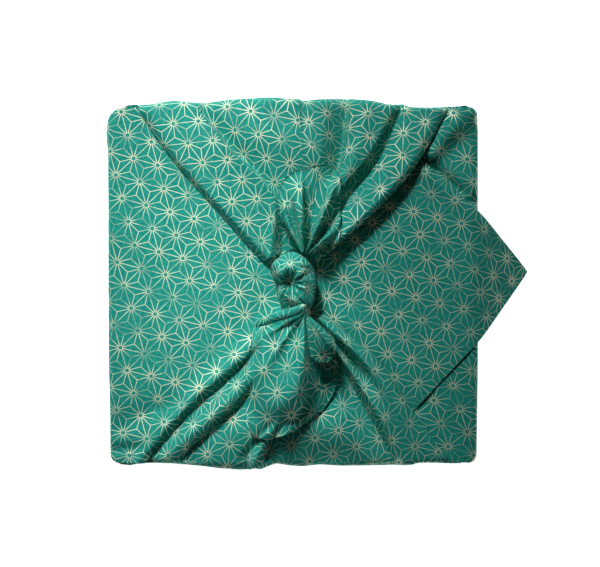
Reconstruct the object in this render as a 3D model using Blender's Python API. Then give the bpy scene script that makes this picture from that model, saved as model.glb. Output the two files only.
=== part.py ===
"""Furoshiki wrap: one hemmed square of cotton tied round a flat, nearly square parcel.

The cloth lies corner to corner across the parcel. The right-hand corner is folded over the top
first, then the left-hand one, whose point hangs past the right-hand edge. The back and front
corners are gathered into arms and tied over the middle in a reef knot with two free ends.
The cloth is one solid of a constant thickness. It is hollow, as the parcel is not part of it.

Frame: +Z up, +Y to the back, origin at the middle of the parcel's base. Sizes are millimetres.
"""

from collections import namedtuple
from math import cos, radians, sin

import bmesh
import bpy
from mathutils import Vector

MM = 0.001

# The wrapped parcel, measured to the middle of the cloth's thickness.
CLOTH = 1.7
HALF_WIDTH = 134.0
HALF_DEPTH = 130.0
CORNER_RADIUS = 5.5
BASE_RADIUS = 1.5
BASE_LEVEL = CLOTH / 2
RIM_RADIUS = 3.2

# The middle of a rounded edge lies this share of its radius in from both of its sides.
HALF_TURN = 0.29

# Levels of the layers on top, each a little clear of the one below.
SLOT_SILL = 38.5
RIGHT_LAYER = 45.6
LEFT_LAYER = 48.2
ARM_LAYER = 50.9

# Across the top, the side panels stop short of the walls and leave a slot at each corner.
PANEL_HALF_DEPTH = 127.5

# The flap: the left-hand corner of the cloth, which hangs past the right-hand edge.
FLAP_START = 52.0
FLAP_BEND = 126.0
FLAP_BEND_RADIUS = 26.0
FLAP_DROOP = radians(37)
FLAP_REACH = 56.0
FLAP_TIP_Y = 10.0
FLAP_TIP_HALF = 1.5

# The right-hand corner of the cloth, which ends out of sight under the left-hand one.
RIGHT_PANEL_TAPER = -20.0
RIGHT_PANEL_END = -108.0
RIGHT_PANEL_END_HALF = 62.0

# A fold line of an arm runs from the parcel's edge through a half-way point to the knot.
# lift is its height over the arm's layer, turn is its place round the neck of the knot.
Fold = namedtuple("Fold", "edge_x edge_out edge_lift mid_x mid_y mid_lift turn swell")

BACK_FOLDS = (
    Fold(-116, 0.0, 0.0, -71.0, 75.0, 0.0, 205, 0.0),
    Fold(-110, 0.5, 1.2, -65.0, 79.0, 4.6, 190, 0.6),
    Fold(-89, 1.0, 0.8, -48.0, 82.0, 4.0, 172, -0.3),
    Fold(-71, 1.2, 1.8, -31.0, 81.0, 4.6, 155, 0.8),
    Fold(-64, 0.0, 0.2, -24.0, 78.0, 1.6, 142, -0.8),
    Fold(-38, 2.0, 1.0, -10.0, 82.0, 2.6, 126, 0.5),
    Fold(-12, 2.6, 1.4, 1.0, 84.0, 3.0, 112, 0.6),
    Fold(2, 3.0, 2.2, 6.0, 86.0, 3.4, 100, 0.8),
    Fold(6, 0.0, 0.0, 9.0, 86.0, 1.4, 90, -0.8),
    Fold(24, 2.6, 1.8, 21.0, 84.0, 2.8, 76, 0.4),
    Fold(39, 0.6, 0.0, 30.0, 81.0, 0.4, 63, -0.8),
    Fold(54, 2.0, 1.8, 36.0, 83.0, 3.6, 50, 0.4),
    Fold(69, 1.2, 2.8, 42.0, 81.0, 5.2, 36, 1.0),
    Fold(77, -1.5, 0.0, 49.0, 78.0, 0.2, 24, -0.8),
    Fold(98, 0.0, 1.6, 65.0, 76.0, 4.4, 6, 0.2),
    Fold(108, 0.0, 2.0, 75.0, 74.0, 4.8, -10, 0.6),
    Fold(113, 0.0, 0.0, 79.0, 71.0, 0.6, -22, 0.0),
)

FRONT_FOLDS = (
    Fold(-119, 0.0, 0.0, -77.0, 76.0, 0.0, 205, 0.0),
    Fold(-113, 0.0, 1.8, -71.0, 81.0, 5.6, 192, 1.0),
    Fold(-106, -0.8, 0.0, -64.0, 84.0, 0.2, 179, -0.8),
    Fold(-96, -0.5, 2.0, -53.0, 89.0, 4.8, 166, 0.8),
    Fold(-82, 0.0, 0.0, -46.0, 94.0, 0.0, 154, -0.8),
    Fold(-58, 1.5, 0.8, -33.0, 95.0, 1.4, 141, 0.2),
    Fold(-37, 2.6, 0.4, -23.0, 94.0, 0.8, 128, -0.4),
    Fold(-29, 3.4, 3.2, -17.0, 94.0, 2.6, 115, 0.8),
    Fold(-19, 1.0, 0.0, -11.0, 94.0, 0.6, 103, -0.6),
    Fold(2, 0.5, 0.8, 2.0, 94.0, 2.0, 89, 0.4),
    Fold(28, 0.3, 0.4, 18.0, 92.0, 1.0, 75, -0.4),
    Fold(55, 0.2, 0.8, 37.0, 88.0, 1.8, 62, 0.3),
    Fold(75, 0.0, 0.4, 47.0, 87.0, 0.6, 49, -0.6),
    Fold(84, 0.0, 2.0, 55.0, 86.0, 4.4, 37, 0.8),
    Fold(90, -0.6, 0.8, 63.0, 81.0, 3.0, 23, -0.4),
    Fold(94, -1.2, 1.8, 71.0, 77.0, 4.8, 8, 0.9),
    Fold(113, -1.6, 0.0, 83.0, 75.0, 0.0, -18, 0.0),
)

# The neck of each arm, where the knot grips it: an arch across the top.
NECK_X = 1.0
BACK_NECK_Y = 17.0
FRONT_NECK_Y = 19.0
NECK_HALF_WIDTH = 15.0
NECK_HEIGHT = 11.0

# A soft ridge or trough that crosses a panel, from one end to the other; rise is its height.
Crease = namedtuple("Crease", "from_x from_y to_x to_y width rise")

LEFT_CREASES = (
    Crease(-130, -112, -84, -86, 9.0, -0.9),
    Crease(-60, 96, -24, 44, 12.0, -0.7),
    Crease(34, -36, 82, -86, 13.0, -0.8),
    Crease(150, 20, 96, 70, 12.0, 0.9),
)
RIGHT_CREASES = (
    Crease(124, 133, 104, 106, 8.0, 3.6),
    Crease(131, 112, 106, 92, 8.0, -0.6),
    Crease(96, -96, 116, -130, 8.0, 1.2),
)

# A pleat line of a free end, from its neck outwards: direction, length and two heights.
EAR_START = 7.0
Pleat = namedtuple("Pleat", "turn reach mid_z end_z")

UPPER_NECK = (8.0, 21.0, 66.0)
UPPER_PLEATS = (
    Pleat(14, 17, 63.0, 60.5),
    Pleat(30, 28, 63.5, 60.0),
    Pleat(46, 40, 66.0, 60.0),
    Pleat(55, 49, 63.5, 59.0),
    Pleat(66, 61, 66.5, 60.0),
    Pleat(76, 69, 63.0, 59.0),
    Pleat(86, 64, 61.0, 58.5),
    Pleat(91, 63, 66.5, 60.0),
    Pleat(97, 60, 66.5, 60.0),
    Pleat(105, 54, 61.5, 58.5),
    Pleat(114, 43, 65.0, 60.0),
    Pleat(128, 30, 62.0, 60.0),
    Pleat(152, 16, 62.0, 60.0),
)

LOWER_NECK = (8.0, -20.0, 66.0)
LOWER_PLEATS = (
    Pleat(188, 30, 65.0, 60.5),
    Pleat(196, 34, 62.0, 59.5),
    Pleat(206, 40, 65.5, 60.0),
    Pleat(217, 48, 66.0, 60.0),
    Pleat(229, 62, 66.5, 59.5),
    Pleat(239, 79, 66.0, 59.0),
    Pleat(249, 97, 65.5, 58.5),
    Pleat(257, 93, 66.5, 59.0),
    Pleat(268, 83, 67.5, 60.0),
    Pleat(274, 77, 67.0, 60.0),
    Pleat(280, 72, 62.0, 58.0),
    Pleat(293, 58, 61.5, 58.0),
    Pleat(304, 43, 64.5, 59.5),
    Pleat(315, 24, 63.0, 60.5),
)

# The knot seen from its pinch: how far it reaches in each direction, and its height there.
Lobe = namedtuple("Lobe", "turn reach crown")

PINCH = (-2.0, 1.0, 69.0)
KNOT_FOOT = 51.0
KNOT_LOBES = (
    Lobe(0, 19.0, 76.0),
    Lobe(28, 19.5, 77.0),
    Lobe(58, 20.5, 77.0),
    Lobe(82, 22.5, 76.0),
    Lobe(105, 20.5, 75.5),
    Lobe(127, 20.0, 75.0),
    Lobe(146, 18.5, 72.5),
    Lobe(163, 15.5, 70.5),
    Lobe(185, 12.5, 69.5),
    Lobe(210, 12.5, 71.0),
    Lobe(232, 16.5, 74.0),
    Lobe(252, 21.0, 75.0),
    Lobe(272, 22.0, 75.0),
    Lobe(292, 22.5, 74.0),
    Lobe(314, 21.5, 75.0),
    Lobe(338, 20.0, 76.0),
)

# Rings of the knot from its pinch down to its foot: share of the reach, and share of the
# crown's rise, or of the fall where it is below the pinch.
KNOT_FALL = 7.5
Ring = namedtuple("Ring", "out up")
KNOT_RINGS = (
    Ring(0.12, 0.15),
    Ring(0.34, 0.8),
    Ring(0.58, 1.0),
    Ring(0.8, 0.72),
    Ring(0.95, 0.0),
    Ring(1.0, -1.0),
    Ring(0.86, -2.4),
)

# Gathered cloth at each side of the knot, where an arm and a free end meet: a low rounded mass.
Gather = namedtuple("Gather", "name x y z half_x half_y half_z")

GATHERS = (
    Gather("back_gather", 3.0, 21.0, 59.0, 15.5, 9.0, 8.0),
    Gather("front_gather", 1.0, -22.0, 59.0, 18.0, 9.0, 8.0),
)

# Where the grids have their rows: shares of an arm's run, a panel's half depth and a free end's run.
ARM_STEPS = (0.0, 0.06, 0.14, 0.24, 0.34, 0.44, 0.54, 0.64, 0.74, 0.83, 0.91, 1.0)
PANEL_YS = (-1, -0.93, -0.84, -0.74, -0.62, -0.48, -0.3, -0.1, 0.1, 0.3, 0.48, 0.62, 0.74, 0.84, 0.93, 1)
EAR_STEPS = (0.0, 0.1, 0.22, 0.36, 0.5, 0.64, 0.78, 0.9, 1.0)
FLAP_STEPS = 9


def clear_scene():
    for item in list(bpy.data.objects):
        bpy.data.objects.remove(item, do_unlink=True)


def printed_cotton():
    material = bpy.data.materials.new("printed_cotton")
    material.use_nodes = True
    surface = material.node_tree.nodes["Principled BSDF"]
    surface.inputs["Base Color"].default_value = (0.012, 0.30, 0.27, 1.0)
    surface.inputs["Roughness"].default_value = 0.8
    surface.inputs["Metallic"].default_value = 0.0
    return material


def add_grid(mesh, rows):
    """Adds a grid of quads through rows of points, and welds it where it meets what is there."""
    grid = [[mesh.verts.new(Vector(point) * MM) for point in row] for row in rows]
    for near, far in zip(grid, grid[1:]):
        for k in range(len(near) - 1):
            mesh.faces.new((near[k], near[k + 1], far[k + 1], far[k]))


def mesh_object(name, mesh):
    bmesh.ops.remove_doubles(mesh, verts=mesh.verts, dist=0.01 * MM)
    bmesh.ops.recalc_face_normals(mesh, faces=mesh.faces)
    bmesh.ops.triangulate(mesh, faces=mesh.faces)
    data = bpy.data.meshes.new(name)
    mesh.to_mesh(data)
    mesh.free()
    item = bpy.data.objects.new(name, data)
    bpy.context.collection.objects.link(item)
    return item


def thicken(item):
    solid = item.modifiers.new("thickness", "SOLIDIFY")
    solid.thickness = CLOTH * MM
    solid.offset = 0.0


def bezier(start, middle, end, t):
    """The point at t of the curve from start to end that passes middle half way."""
    control = 2 * middle - (start + end) / 2
    return (1 - t) ** 2 * start + 2 * t * (1 - t) * control + t * t * end


def ring_outline():
    """The plan of the walls, anticlockwise: stations of each side and an arc at each corner."""
    right = [(HALF_WIDTH, y) for y in panel_stations()]
    back = [(fold.edge_x, HALF_DEPTH) for fold in reversed(BACK_FOLDS)]
    left = [(-HALF_WIDTH, y) for y in reversed(panel_stations())]
    front = [(fold.edge_x, -HALF_DEPTH) for fold in FRONT_FOLDS]
    corners = [corner_arc(1, 1, 0), corner_arc(-1, 1, 90), corner_arc(-1, -1, 180), corner_arc(1, -1, 270)]
    return right + corners[0] + back + corners[1] + left + corners[2] + front + corners[3]


def corner_arc(side_x, side_y, start):
    centre_x = side_x * (HALF_WIDTH - CORNER_RADIUS)
    centre_y = side_y * (HALF_DEPTH - CORNER_RADIUS)
    turns = [radians(start + step * 30) for step in range(4)]
    return [(centre_x + CORNER_RADIUS * cos(a), centre_y + CORNER_RADIUS * sin(a)) for a in turns]


def panel_stations():
    reach = HALF_DEPTH - CORNER_RADIUS - 1.0
    return [reach * share for share in PANEL_YS]


def inset(point, amount):
    x, y = point
    return (x * (1 - amount / HALF_WIDTH), y * (1 - amount / HALF_DEPTH))


def add_base_and_walls(mesh):
    """The cloth under the parcel and up its sides, as far as the sill of the corner slots."""
    outline = ring_outline()
    loop = outline + outline[:1]
    turned = [inset(p, BASE_RADIUS * HALF_TURN) for p in loop]
    foot = [inset(p, BASE_RADIUS) for p in loop]
    rows = [
        [(x, y, BASE_LEVEL) for x, y in foot],
        [(x, y, BASE_LEVEL + BASE_RADIUS * HALF_TURN) for x, y in turned],
        [(x, y, BASE_LEVEL + BASE_RADIUS) for x, y in loop],
        [(x, y, SLOT_SILL) for x, y in loop],
    ]
    add_grid(mesh, rows)
    mesh.verts.ensure_lookup_table()
    mesh.faces.new([mesh.verts[k] for k in range(len(outline))])


def add_arm(mesh, folds, side, neck_y):
    """An arm: up from the sill, over the parcel's edge and in to the neck of the knot."""
    turn_in = HALF_DEPTH - RIM_RADIUS * HALF_TURN
    turn_up = ARM_LAYER - RIM_RADIUS * HALF_TURN
    rows = [
        [(f.edge_x, side * HALF_DEPTH, SLOT_SILL) for f in folds],
        [(f.edge_x, side * (HALF_DEPTH + f.edge_out * 0.6), ARM_LAYER - RIM_RADIUS) for f in folds],
        [(f.edge_x, side * (turn_in + f.edge_out), turn_up + f.edge_lift) for f in folds],
    ]
    for t in ARM_STEPS:
        rows.append([arm_point(fold, side, neck_y, t) for fold in folds])
    add_grid(mesh, rows)


def arm_point(fold, side, neck_y, t):
    start = Vector((fold.edge_x, side * (HALF_DEPTH + fold.edge_out - RIM_RADIUS), ARM_LAYER + fold.edge_lift))
    middle = Vector((fold.mid_x, side * fold.mid_y, ARM_LAYER + 1.0 + fold.mid_lift))
    turn = radians(fold.turn)
    end_x = NECK_X + (NECK_HALF_WIDTH + fold.swell) * cos(turn)
    end_z = ARM_LAYER + 3.5 + (NECK_HEIGHT + fold.swell) * sin(turn)
    end = Vector((end_x, side * neck_y, end_z))
    return bezier(start, middle, end, t)


def add_left_panel(mesh):
    """The left-hand corner: up the left side, across the top, and down past the right edge."""
    rows = rim_rows(-1, LEFT_LAYER)
    for x in (-112, -90, -60, -30, 0, 28, FLAP_START):
        ys = spread(PANEL_HALF_DEPTH, 0)
        rows.append([(x, y, LEFT_LAYER + crease_lift(LEFT_CREASES, x, y)) for y in ys])
    tip_run = FLAP_BEND - FLAP_START + FLAP_REACH
    for step in range(1, FLAP_STEPS + 1):
        share = step / FLAP_STEPS
        x, z = flap_line(share * tip_run)
        half = (1 - share) * PANEL_HALF_DEPTH + share * FLAP_TIP_HALF
        ys = spread(half, share * FLAP_TIP_Y)
        rows.append([(x, y, z + crease_lift(LEFT_CREASES, x, y)) for y in ys])
    add_grid(mesh, rows)


def flap_line(run):
    """The place, run along the cloth past FLAP_START: flat, then bent down, then straight."""
    flat = min(run, FLAP_BEND - FLAP_START)
    rest = run - flat
    arc = min(rest, FLAP_DROOP * FLAP_BEND_RADIUS)
    turn = arc / FLAP_BEND_RADIUS
    straight = rest - arc
    x = FLAP_START + flat + FLAP_BEND_RADIUS * sin(turn) + straight * cos(turn)
    z = LEFT_LAYER - FLAP_BEND_RADIUS * (1 - cos(turn)) - straight * sin(turn)
    return x, z


def crease_lift(creases, x, y):
    """How far the creases lift the cloth at x, y: each fades out across and past its ends."""
    lift = 0.0
    for crease in creases:
        start = Vector((crease.from_x, crease.from_y))
        run = Vector((crease.to_x, crease.to_y)) - start
        offset = Vector((x, y)) - start
        along = min(1.0, max(0.0, offset.dot(run) / run.length_squared))
        distance = (offset - run * along).length
        lift += crease.rise * max(0.0, 1 - distance / crease.width)
    return lift


def rim_rows(side, layer):
    """The rows that carry a side panel from the sill over the parcel's edge."""
    wall = side * HALF_WIDTH
    turn = side * (HALF_WIDTH - RIM_RADIUS * HALF_TURN)
    rim = side * (HALF_WIDTH - RIM_RADIUS)
    stations = panel_stations()
    return [
        [(wall, y, SLOT_SILL) for y in stations],
        [(wall, y, layer - RIM_RADIUS) for y in stations],
        [(turn, y, layer - RIM_RADIUS * HALF_TURN) for y in stations],
        [(rim, y, layer) for y in spread(PANEL_HALF_DEPTH, 0)],
    ]


def spread(half, centre):
    return [centre + half * share for share in PANEL_YS]


def add_right_panel(mesh):
    """The right-hand corner: up the right side and across under the left-hand one."""
    rows = rim_rows(1, RIGHT_LAYER)
    for x in (121, 114, 107, 99, 88, 70, 45, 10, RIGHT_PANEL_TAPER):
        ys = spread(PANEL_HALF_DEPTH, 0)
        rows.append([(x, y, RIGHT_LAYER + crease_lift(RIGHT_CREASES, x, y)) for y in ys])
    for share in (0.5, 1.0):
        x = RIGHT_PANEL_TAPER + share * (RIGHT_PANEL_END - RIGHT_PANEL_TAPER)
        half = (1 - share) * PANEL_HALF_DEPTH + share * RIGHT_PANEL_END_HALF
        rows.append([(x, y, RIGHT_LAYER) for y in spread(half, 0)])
    add_grid(mesh, rows)


def free_end(name, neck, pleats):
    """A free end of the cloth: a fan of pleats that opens outwards from its neck."""
    start = Vector(neck)
    rows = []
    for share in EAR_STEPS:
        row = []
        for pleat in pleats:
            turn = radians(pleat.turn)
            reach = EAR_START + share * (pleat.reach - EAR_START)
            x = start.x + reach * cos(turn)
            y = start.y + reach * sin(turn)
            z = bezier(start.z, pleat.mid_z, pleat.end_z, reach / pleat.reach)
            row.append((x, y, z))
        rows.append(row)
    mesh = bmesh.new()
    add_grid(mesh, rows)
    item = mesh_object(name, mesh)
    thicken(item)
    return item


def knot():
    """The knot: a puckered lump whose cloth runs from all sides into the pinch."""
    pinch = Vector(PINCH)
    rows = []
    for ring in KNOT_RINGS:
        row = []
        for lobe in KNOT_LOBES + KNOT_LOBES[:1]:
            turn = radians(lobe.turn)
            x = pinch.x + lobe.reach * ring.out * cos(turn)
            y = pinch.y + lobe.reach * ring.out * sin(turn)
            rise = lobe.crown - pinch.z if ring.up > 0 else KNOT_FALL
            row.append((x, y, max(KNOT_FOOT, pinch.z + rise * ring.up)))
        rows.append(row)
    mesh = bmesh.new()
    add_grid(mesh, rows)
    bmesh.ops.remove_doubles(mesh, verts=mesh.verts, dist=0.01 * MM)
    bmesh.ops.holes_fill(mesh, edges=mesh.edges, sides=0)
    return mesh_object("knot", mesh)


def gather(spec):
    mesh = bmesh.new()
    bmesh.ops.create_icosphere(mesh, subdivisions=2, radius=1.0)
    for vert in mesh.verts:
        x = spec.x + spec.half_x * vert.co.x
        y = spec.y + spec.half_y * vert.co.y
        z = spec.z + spec.half_z * vert.co.z
        vert.co = Vector((x, y, z)) * MM
    return mesh_object(spec.name, mesh)


def join_to(cloth, piece):
    """Makes piece one with the cloth, and hides the piece itself."""
    union = cloth.modifiers.new("join_" + piece.name, "BOOLEAN")
    union.operation = "UNION"
    union.solver = "EXACT"
    union.object = piece
    piece.hide_render = True
    piece.display_type = "WIRE"


def furoshiki_cloth():
    mesh = bmesh.new()
    add_base_and_walls(mesh)
    add_arm(mesh, BACK_FOLDS, 1, BACK_NECK_Y)
    add_arm(mesh, FRONT_FOLDS, -1, FRONT_NECK_Y)
    add_left_panel(mesh)
    add_right_panel(mesh)
    cloth = mesh_object("furoshiki_cloth", mesh)
    cloth.data.materials.append(printed_cotton())
    thicken(cloth)
    join_to(cloth, knot())
    for spec in GATHERS:
        join_to(cloth, gather(spec))
    join_to(cloth, free_end("upper_free_end", UPPER_NECK, UPPER_PLEATS))
    join_to(cloth, free_end("lower_free_end", LOWER_NECK, LOWER_PLEATS))


clear_scene()
furoshiki_cloth()
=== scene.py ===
"""Looks of the furoshiki wrap: one printed cotton square, folded and tied round a flat parcel.

The cloth is a single open sheet. It is laid strip by strip on the folds of its solid, and every
strip carries its own piece of the print, so that the hemp leaves run along the cloth and break
only at a tuck or a fold. Sizes are millimetres until a strip becomes mesh. +Y is the back.
"""

from collections import namedtuple
from math import cos, pi, radians, sin, sqrt

import bmesh
import bpy
import numpy as np
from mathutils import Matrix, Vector, noise
from mathutils.bvhtree import BVHTree


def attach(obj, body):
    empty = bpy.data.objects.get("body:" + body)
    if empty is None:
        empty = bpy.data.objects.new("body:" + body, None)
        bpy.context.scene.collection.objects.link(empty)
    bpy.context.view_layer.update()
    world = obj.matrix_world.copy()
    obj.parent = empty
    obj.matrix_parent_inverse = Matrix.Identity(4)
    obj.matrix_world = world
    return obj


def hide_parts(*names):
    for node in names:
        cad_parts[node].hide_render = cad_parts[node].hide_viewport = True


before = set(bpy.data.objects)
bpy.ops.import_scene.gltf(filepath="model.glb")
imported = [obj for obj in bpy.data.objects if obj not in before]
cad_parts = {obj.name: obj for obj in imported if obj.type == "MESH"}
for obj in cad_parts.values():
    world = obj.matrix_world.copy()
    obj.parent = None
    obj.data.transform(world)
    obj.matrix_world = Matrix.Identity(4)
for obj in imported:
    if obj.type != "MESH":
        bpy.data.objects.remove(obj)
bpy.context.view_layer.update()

MM = 0.001

# The wrapped parcel.
HALF_WIDTH = 134.0
HALF_DEPTH = 129.3
CORNER_RADII = {(-1, 1): 11.0, (1, 1): 6.0, (-1, -1): 7.0, (1, -1): 6.0}
RIM_X = 129.5
PANEL_EDGE_Y = 128.6
FOOT_LEVEL = 0.8
BOTTOM_LEVEL = FOOT_LEVEL - 0.3
BOTTOM_MARGIN = 8

# The rows of a wall: how far in and how much over the foot level the cloth turns under, then the
# levels up the wall. A rounded rim has a row every so many degrees.
FOOT_ROWS = ((9.0, 0.0), (4.0, 0.0), (1.4, 1.2))
WALL_LEVELS = (4.8, 9.0, 15.0, 22.0, 29.0, 36.0, 42.4)
RIM_STEP = 15

# Levels of the side panels, where they lie open and where an arm presses them down.
LEFT_TOP = 48.4
LEFT_SUNK = 45.2
RIGHT_TOP = 47.3
RIGHT_SUNK = 44.4

# Out of sight, the right-hand corner tapers to its point, which is folded back under itself:
# the place, half the breadth and the level of each row past the start of the taper.
RIGHT_TAPER_X = -52.0
RIGHT_TAIL = (
    (-64, 116, 44.4),
    (-86, 94, 44.4),
    (-108, 72, 44.4),
    (-119, 61, 44.3),
    (-121, 59, 43.8),
    (-119, 57, 43.3),
    (-100, 38, 43.2),
    (-80, 18, 43.2),
    (-64, 1, 43.2),
)

# The hanging corner of the left-hand panel.
FLAP_START = 52.0
FLAP_BEND = 126.0
FLAP_BEND_RADIUS = 26.0
FLAP_DROOP = radians(37)
FLAP_REACH = 56.0
FLAP_TIP_Y = 9.8
FLAP_TIP_HALF = 0.6
FLAP_RUN = FLAP_BEND - FLAP_START + FLAP_REACH

# Across the panels, the rows lie in stretches: from, to and how many. Near the rim the left-hand
# rows still bend round its corners.
LEFT_STRETCHES = ((-122.0, -60.0, 34), (-58.2, FLAP_START, 62))
RIGHT_STRETCHES = ((122.0, 60.0, 34), (56.0, RIGHT_TAPER_X, 26))
LEFT_BEND_START = -123.4
LEFT_BEND_END = -114.0
LEFT_BEND_SHARE = 0.6
RIGHT_ROLLED_ROWS = 48
FLAP_ROWS = 67
FLAP_SAMPLES = 200
CORNER_COLUMNS = 12
WALL_COLUMNS = 116
BOTTOM_COLUMNS = 61
BOTTOM_ROWS = 59

# Under the flap the right-hand panel sinks, from this far inside the flap's edge and over this run.
UNDER_FLAP_START = 1.0
UNDER_FLAP_RUN = 9.0

HEM_WIDTH = 6.0
NO_HEM = 60.0

# An edge that is rolled under: the way inward at the back, the roll's radius, and the width of
# cloth that returns below. A roll is laid at these turns, its return at these shares.
Roll = namedtuple("Roll", "in_x in_y radius width hemmed")
PANEL_ROLL = Roll(0.0, -1.0, 0.8, 6.0, False)
FLAP_ROLL = Roll(-0.69, -0.72, 0.35, 5.0, True)
ROLL_TURNS = (0.0, 35.0, 70.0, 110.0, 150.0, 180.0)
RETURN_SHARES = (0.3, 0.65, 1.0)

# At its two ends the lip of the back and front walls shows in the corner slots: how far in from
# the outline and how high each of its rows lies. It is thinner at the very corners.
END_LIP = (
    (0.1, 44.2), (0, 45.6), (0.35, 46.5), (0.9, 46.4), (1.5, 45.2), (3, 44.3), (9, 44), (26, 43.8),
)
LIP_THINNER = 0.5
LIP_THIN_X = 118
LIP_THIN_RUN = 6
SLOT_X = 112
SLOT_END_X = 96
SLOT_COLUMNS = 15
UNDER_ARM_X = 88
UNDER_ARM_COLUMNS = 23
UNDER_ARM_REACH = HALF_DEPTH + 0.2
END_WALL_RUN = 45.0

# A slow swell of the cloth: its height, the size of its waves, and its slice of the noise.
Swell = namedtuple("Swell", "height size slice")
BOTTOM_SWELLS = (Swell(0.25, 60.0, 2.0),)
LEFT_SWELLS = (Swell(0.35, 34.0, 3.0), Swell(0.12, 13.0, 8.0))
RIGHT_SWELLS = (Swell(0.3, 30.0, 5.0), Swell(0.1, 12.0, 6.0))
ARM_SWELLS = (Swell(0.28, 22.0, 4.0), Swell(0.12, 9.0, 9.0))
FREE_END_SWELLS = (Swell(0.35, 11.0, 7.0),)
KNOT_SWELLS = (Swell(0.3, 5.0, 11.0),)
STRAND_SWELLS = (Swell(0.25, 3.5, 12.0),)

# ---- lines of the folds ----

# Where the arms lie on the side panels: plan lines from the parcel's edge to the knot.
BACK_LEFT_EDGE = (
    (-117, 131), (-100, 109), (-89, 95), (-75, 77), (-61, 62), (-47.5, 48), (-33.6, 35), (-13, 15),
)
BACK_RIGHT_EDGE = ((114, 131), (98.8, 101), (81.2, 77), (60.8, 55.4), (45, 39.7), (18, 11))
FRONT_LEFT_EDGE = ((-107, -131), (-88, -106), (-68, -85), (-33, -56), (-10, -32))
FRONT_RIGHT_EDGE = ((113, -131), (88, -91.5), (68, -62), (45, -42), (20, -21))

# An arm as the panels feel it: its side, its edges, and the run over which they sink beside each.
Weight = namedtuple("Weight", "side left right left_run right_run")
BACK_WEIGHT = Weight(1, BACK_LEFT_EDGE, BACK_RIGHT_EDGE, 7.0, 6.0)
FRONT_WEIGHT = Weight(-1, FRONT_LEFT_EDGE, FRONT_RIGHT_EDGE, 5.0, 8.0)

# How far outside an arm's edge each panel starts to sink. Beside the back arm's right-hand edge
# this changes near the rim.
FRONT_LEAD = 4.0
LEFT_BACK_LEAD = 1.5
LEFT_FRONT_LEAD = 3.0
RIGHT_FRONT_LEAD = 1.0
RIGHT_LEAD = 6.5
RIGHT_LEAD_AT_RIM = 0.5
RIGHT_LEAD_Y = 90.0
RIGHT_LEAD_RUN = 8.0

# A soft ridge or trough of a panel: its plan, its height at both ends, and how far it spreads
# to the left and to the right of its run.
Relief = namedtuple("Relief", "line start end left right")

LEFT_RELIEF = (
    Relief(((-114, -131), (-104, -119), (-84, -96), (-60, -72), (-36, -52), (-12, -25)), 4.4, 5.2, 8, 4),
    Relief(((-136, -111), (-122, -101), (-108, -94), (-84, -87)), -2.2, -1.6, 8, 4.5),
    Relief(((-137, -121.5), (-126, -119.4), (-112, -118.6)), -2.6, -1.6, 3.2, 3),
    Relief(((-118, -111), (-100, -103)), 0.9, 0.5, 4, 5),
    Relief(((-72, 98), (-40, 62), (-22, 40)), -0.8, -1.2, 10, 12),
    Relief(((99, 92), (101, 70)), 0.7, 0.3, 3.5, 5),
    Relief(((93, 84), (104, 74), (120, 60), (136, 44)), 1.5, 0.9, 3.4, 6),
    Relief(((34, -24), (60, -44), (78, -62), (92, -80)), 1.7, 0.8, 12, 6),
)
RIGHT_RELIEF = (
    Relief(((134, 130), (119, 116), (108, 105), (99, 93)), 5.4, 4, 6, 13),
    Relief(((98, 88.6), (108, 78.8), (122, 66.6), (135, 53.8)), -3.7, -3.4, 3.4, 1.5),
    Relief(((103, 94.5), (112, 85.5), (126, 73.5), (135, 65)), 1.5, 1.3, 7, 3.5),
    Relief(((134, 112), (118, 98), (104, 86)), -0.8, -0.6, 6, 6),
    Relief(((96, -96), (106, -112), (118, -131)), 0.6, 1.6, 4, 4),
    Relief(((128, -128), (120, -112), (112, -98)), -0.5, -0.2, 5, 5),
)

# A line of an arm, from the parcel's edge to the knot: plan and height at four stations.
Line = namedtuple("Line", "x0 y0 z0 x1 y1 z1 x2 y2 z2 x3 y3 z3")
STATIONS = (0.0, 0.34, 0.68, 1.0)

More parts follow.
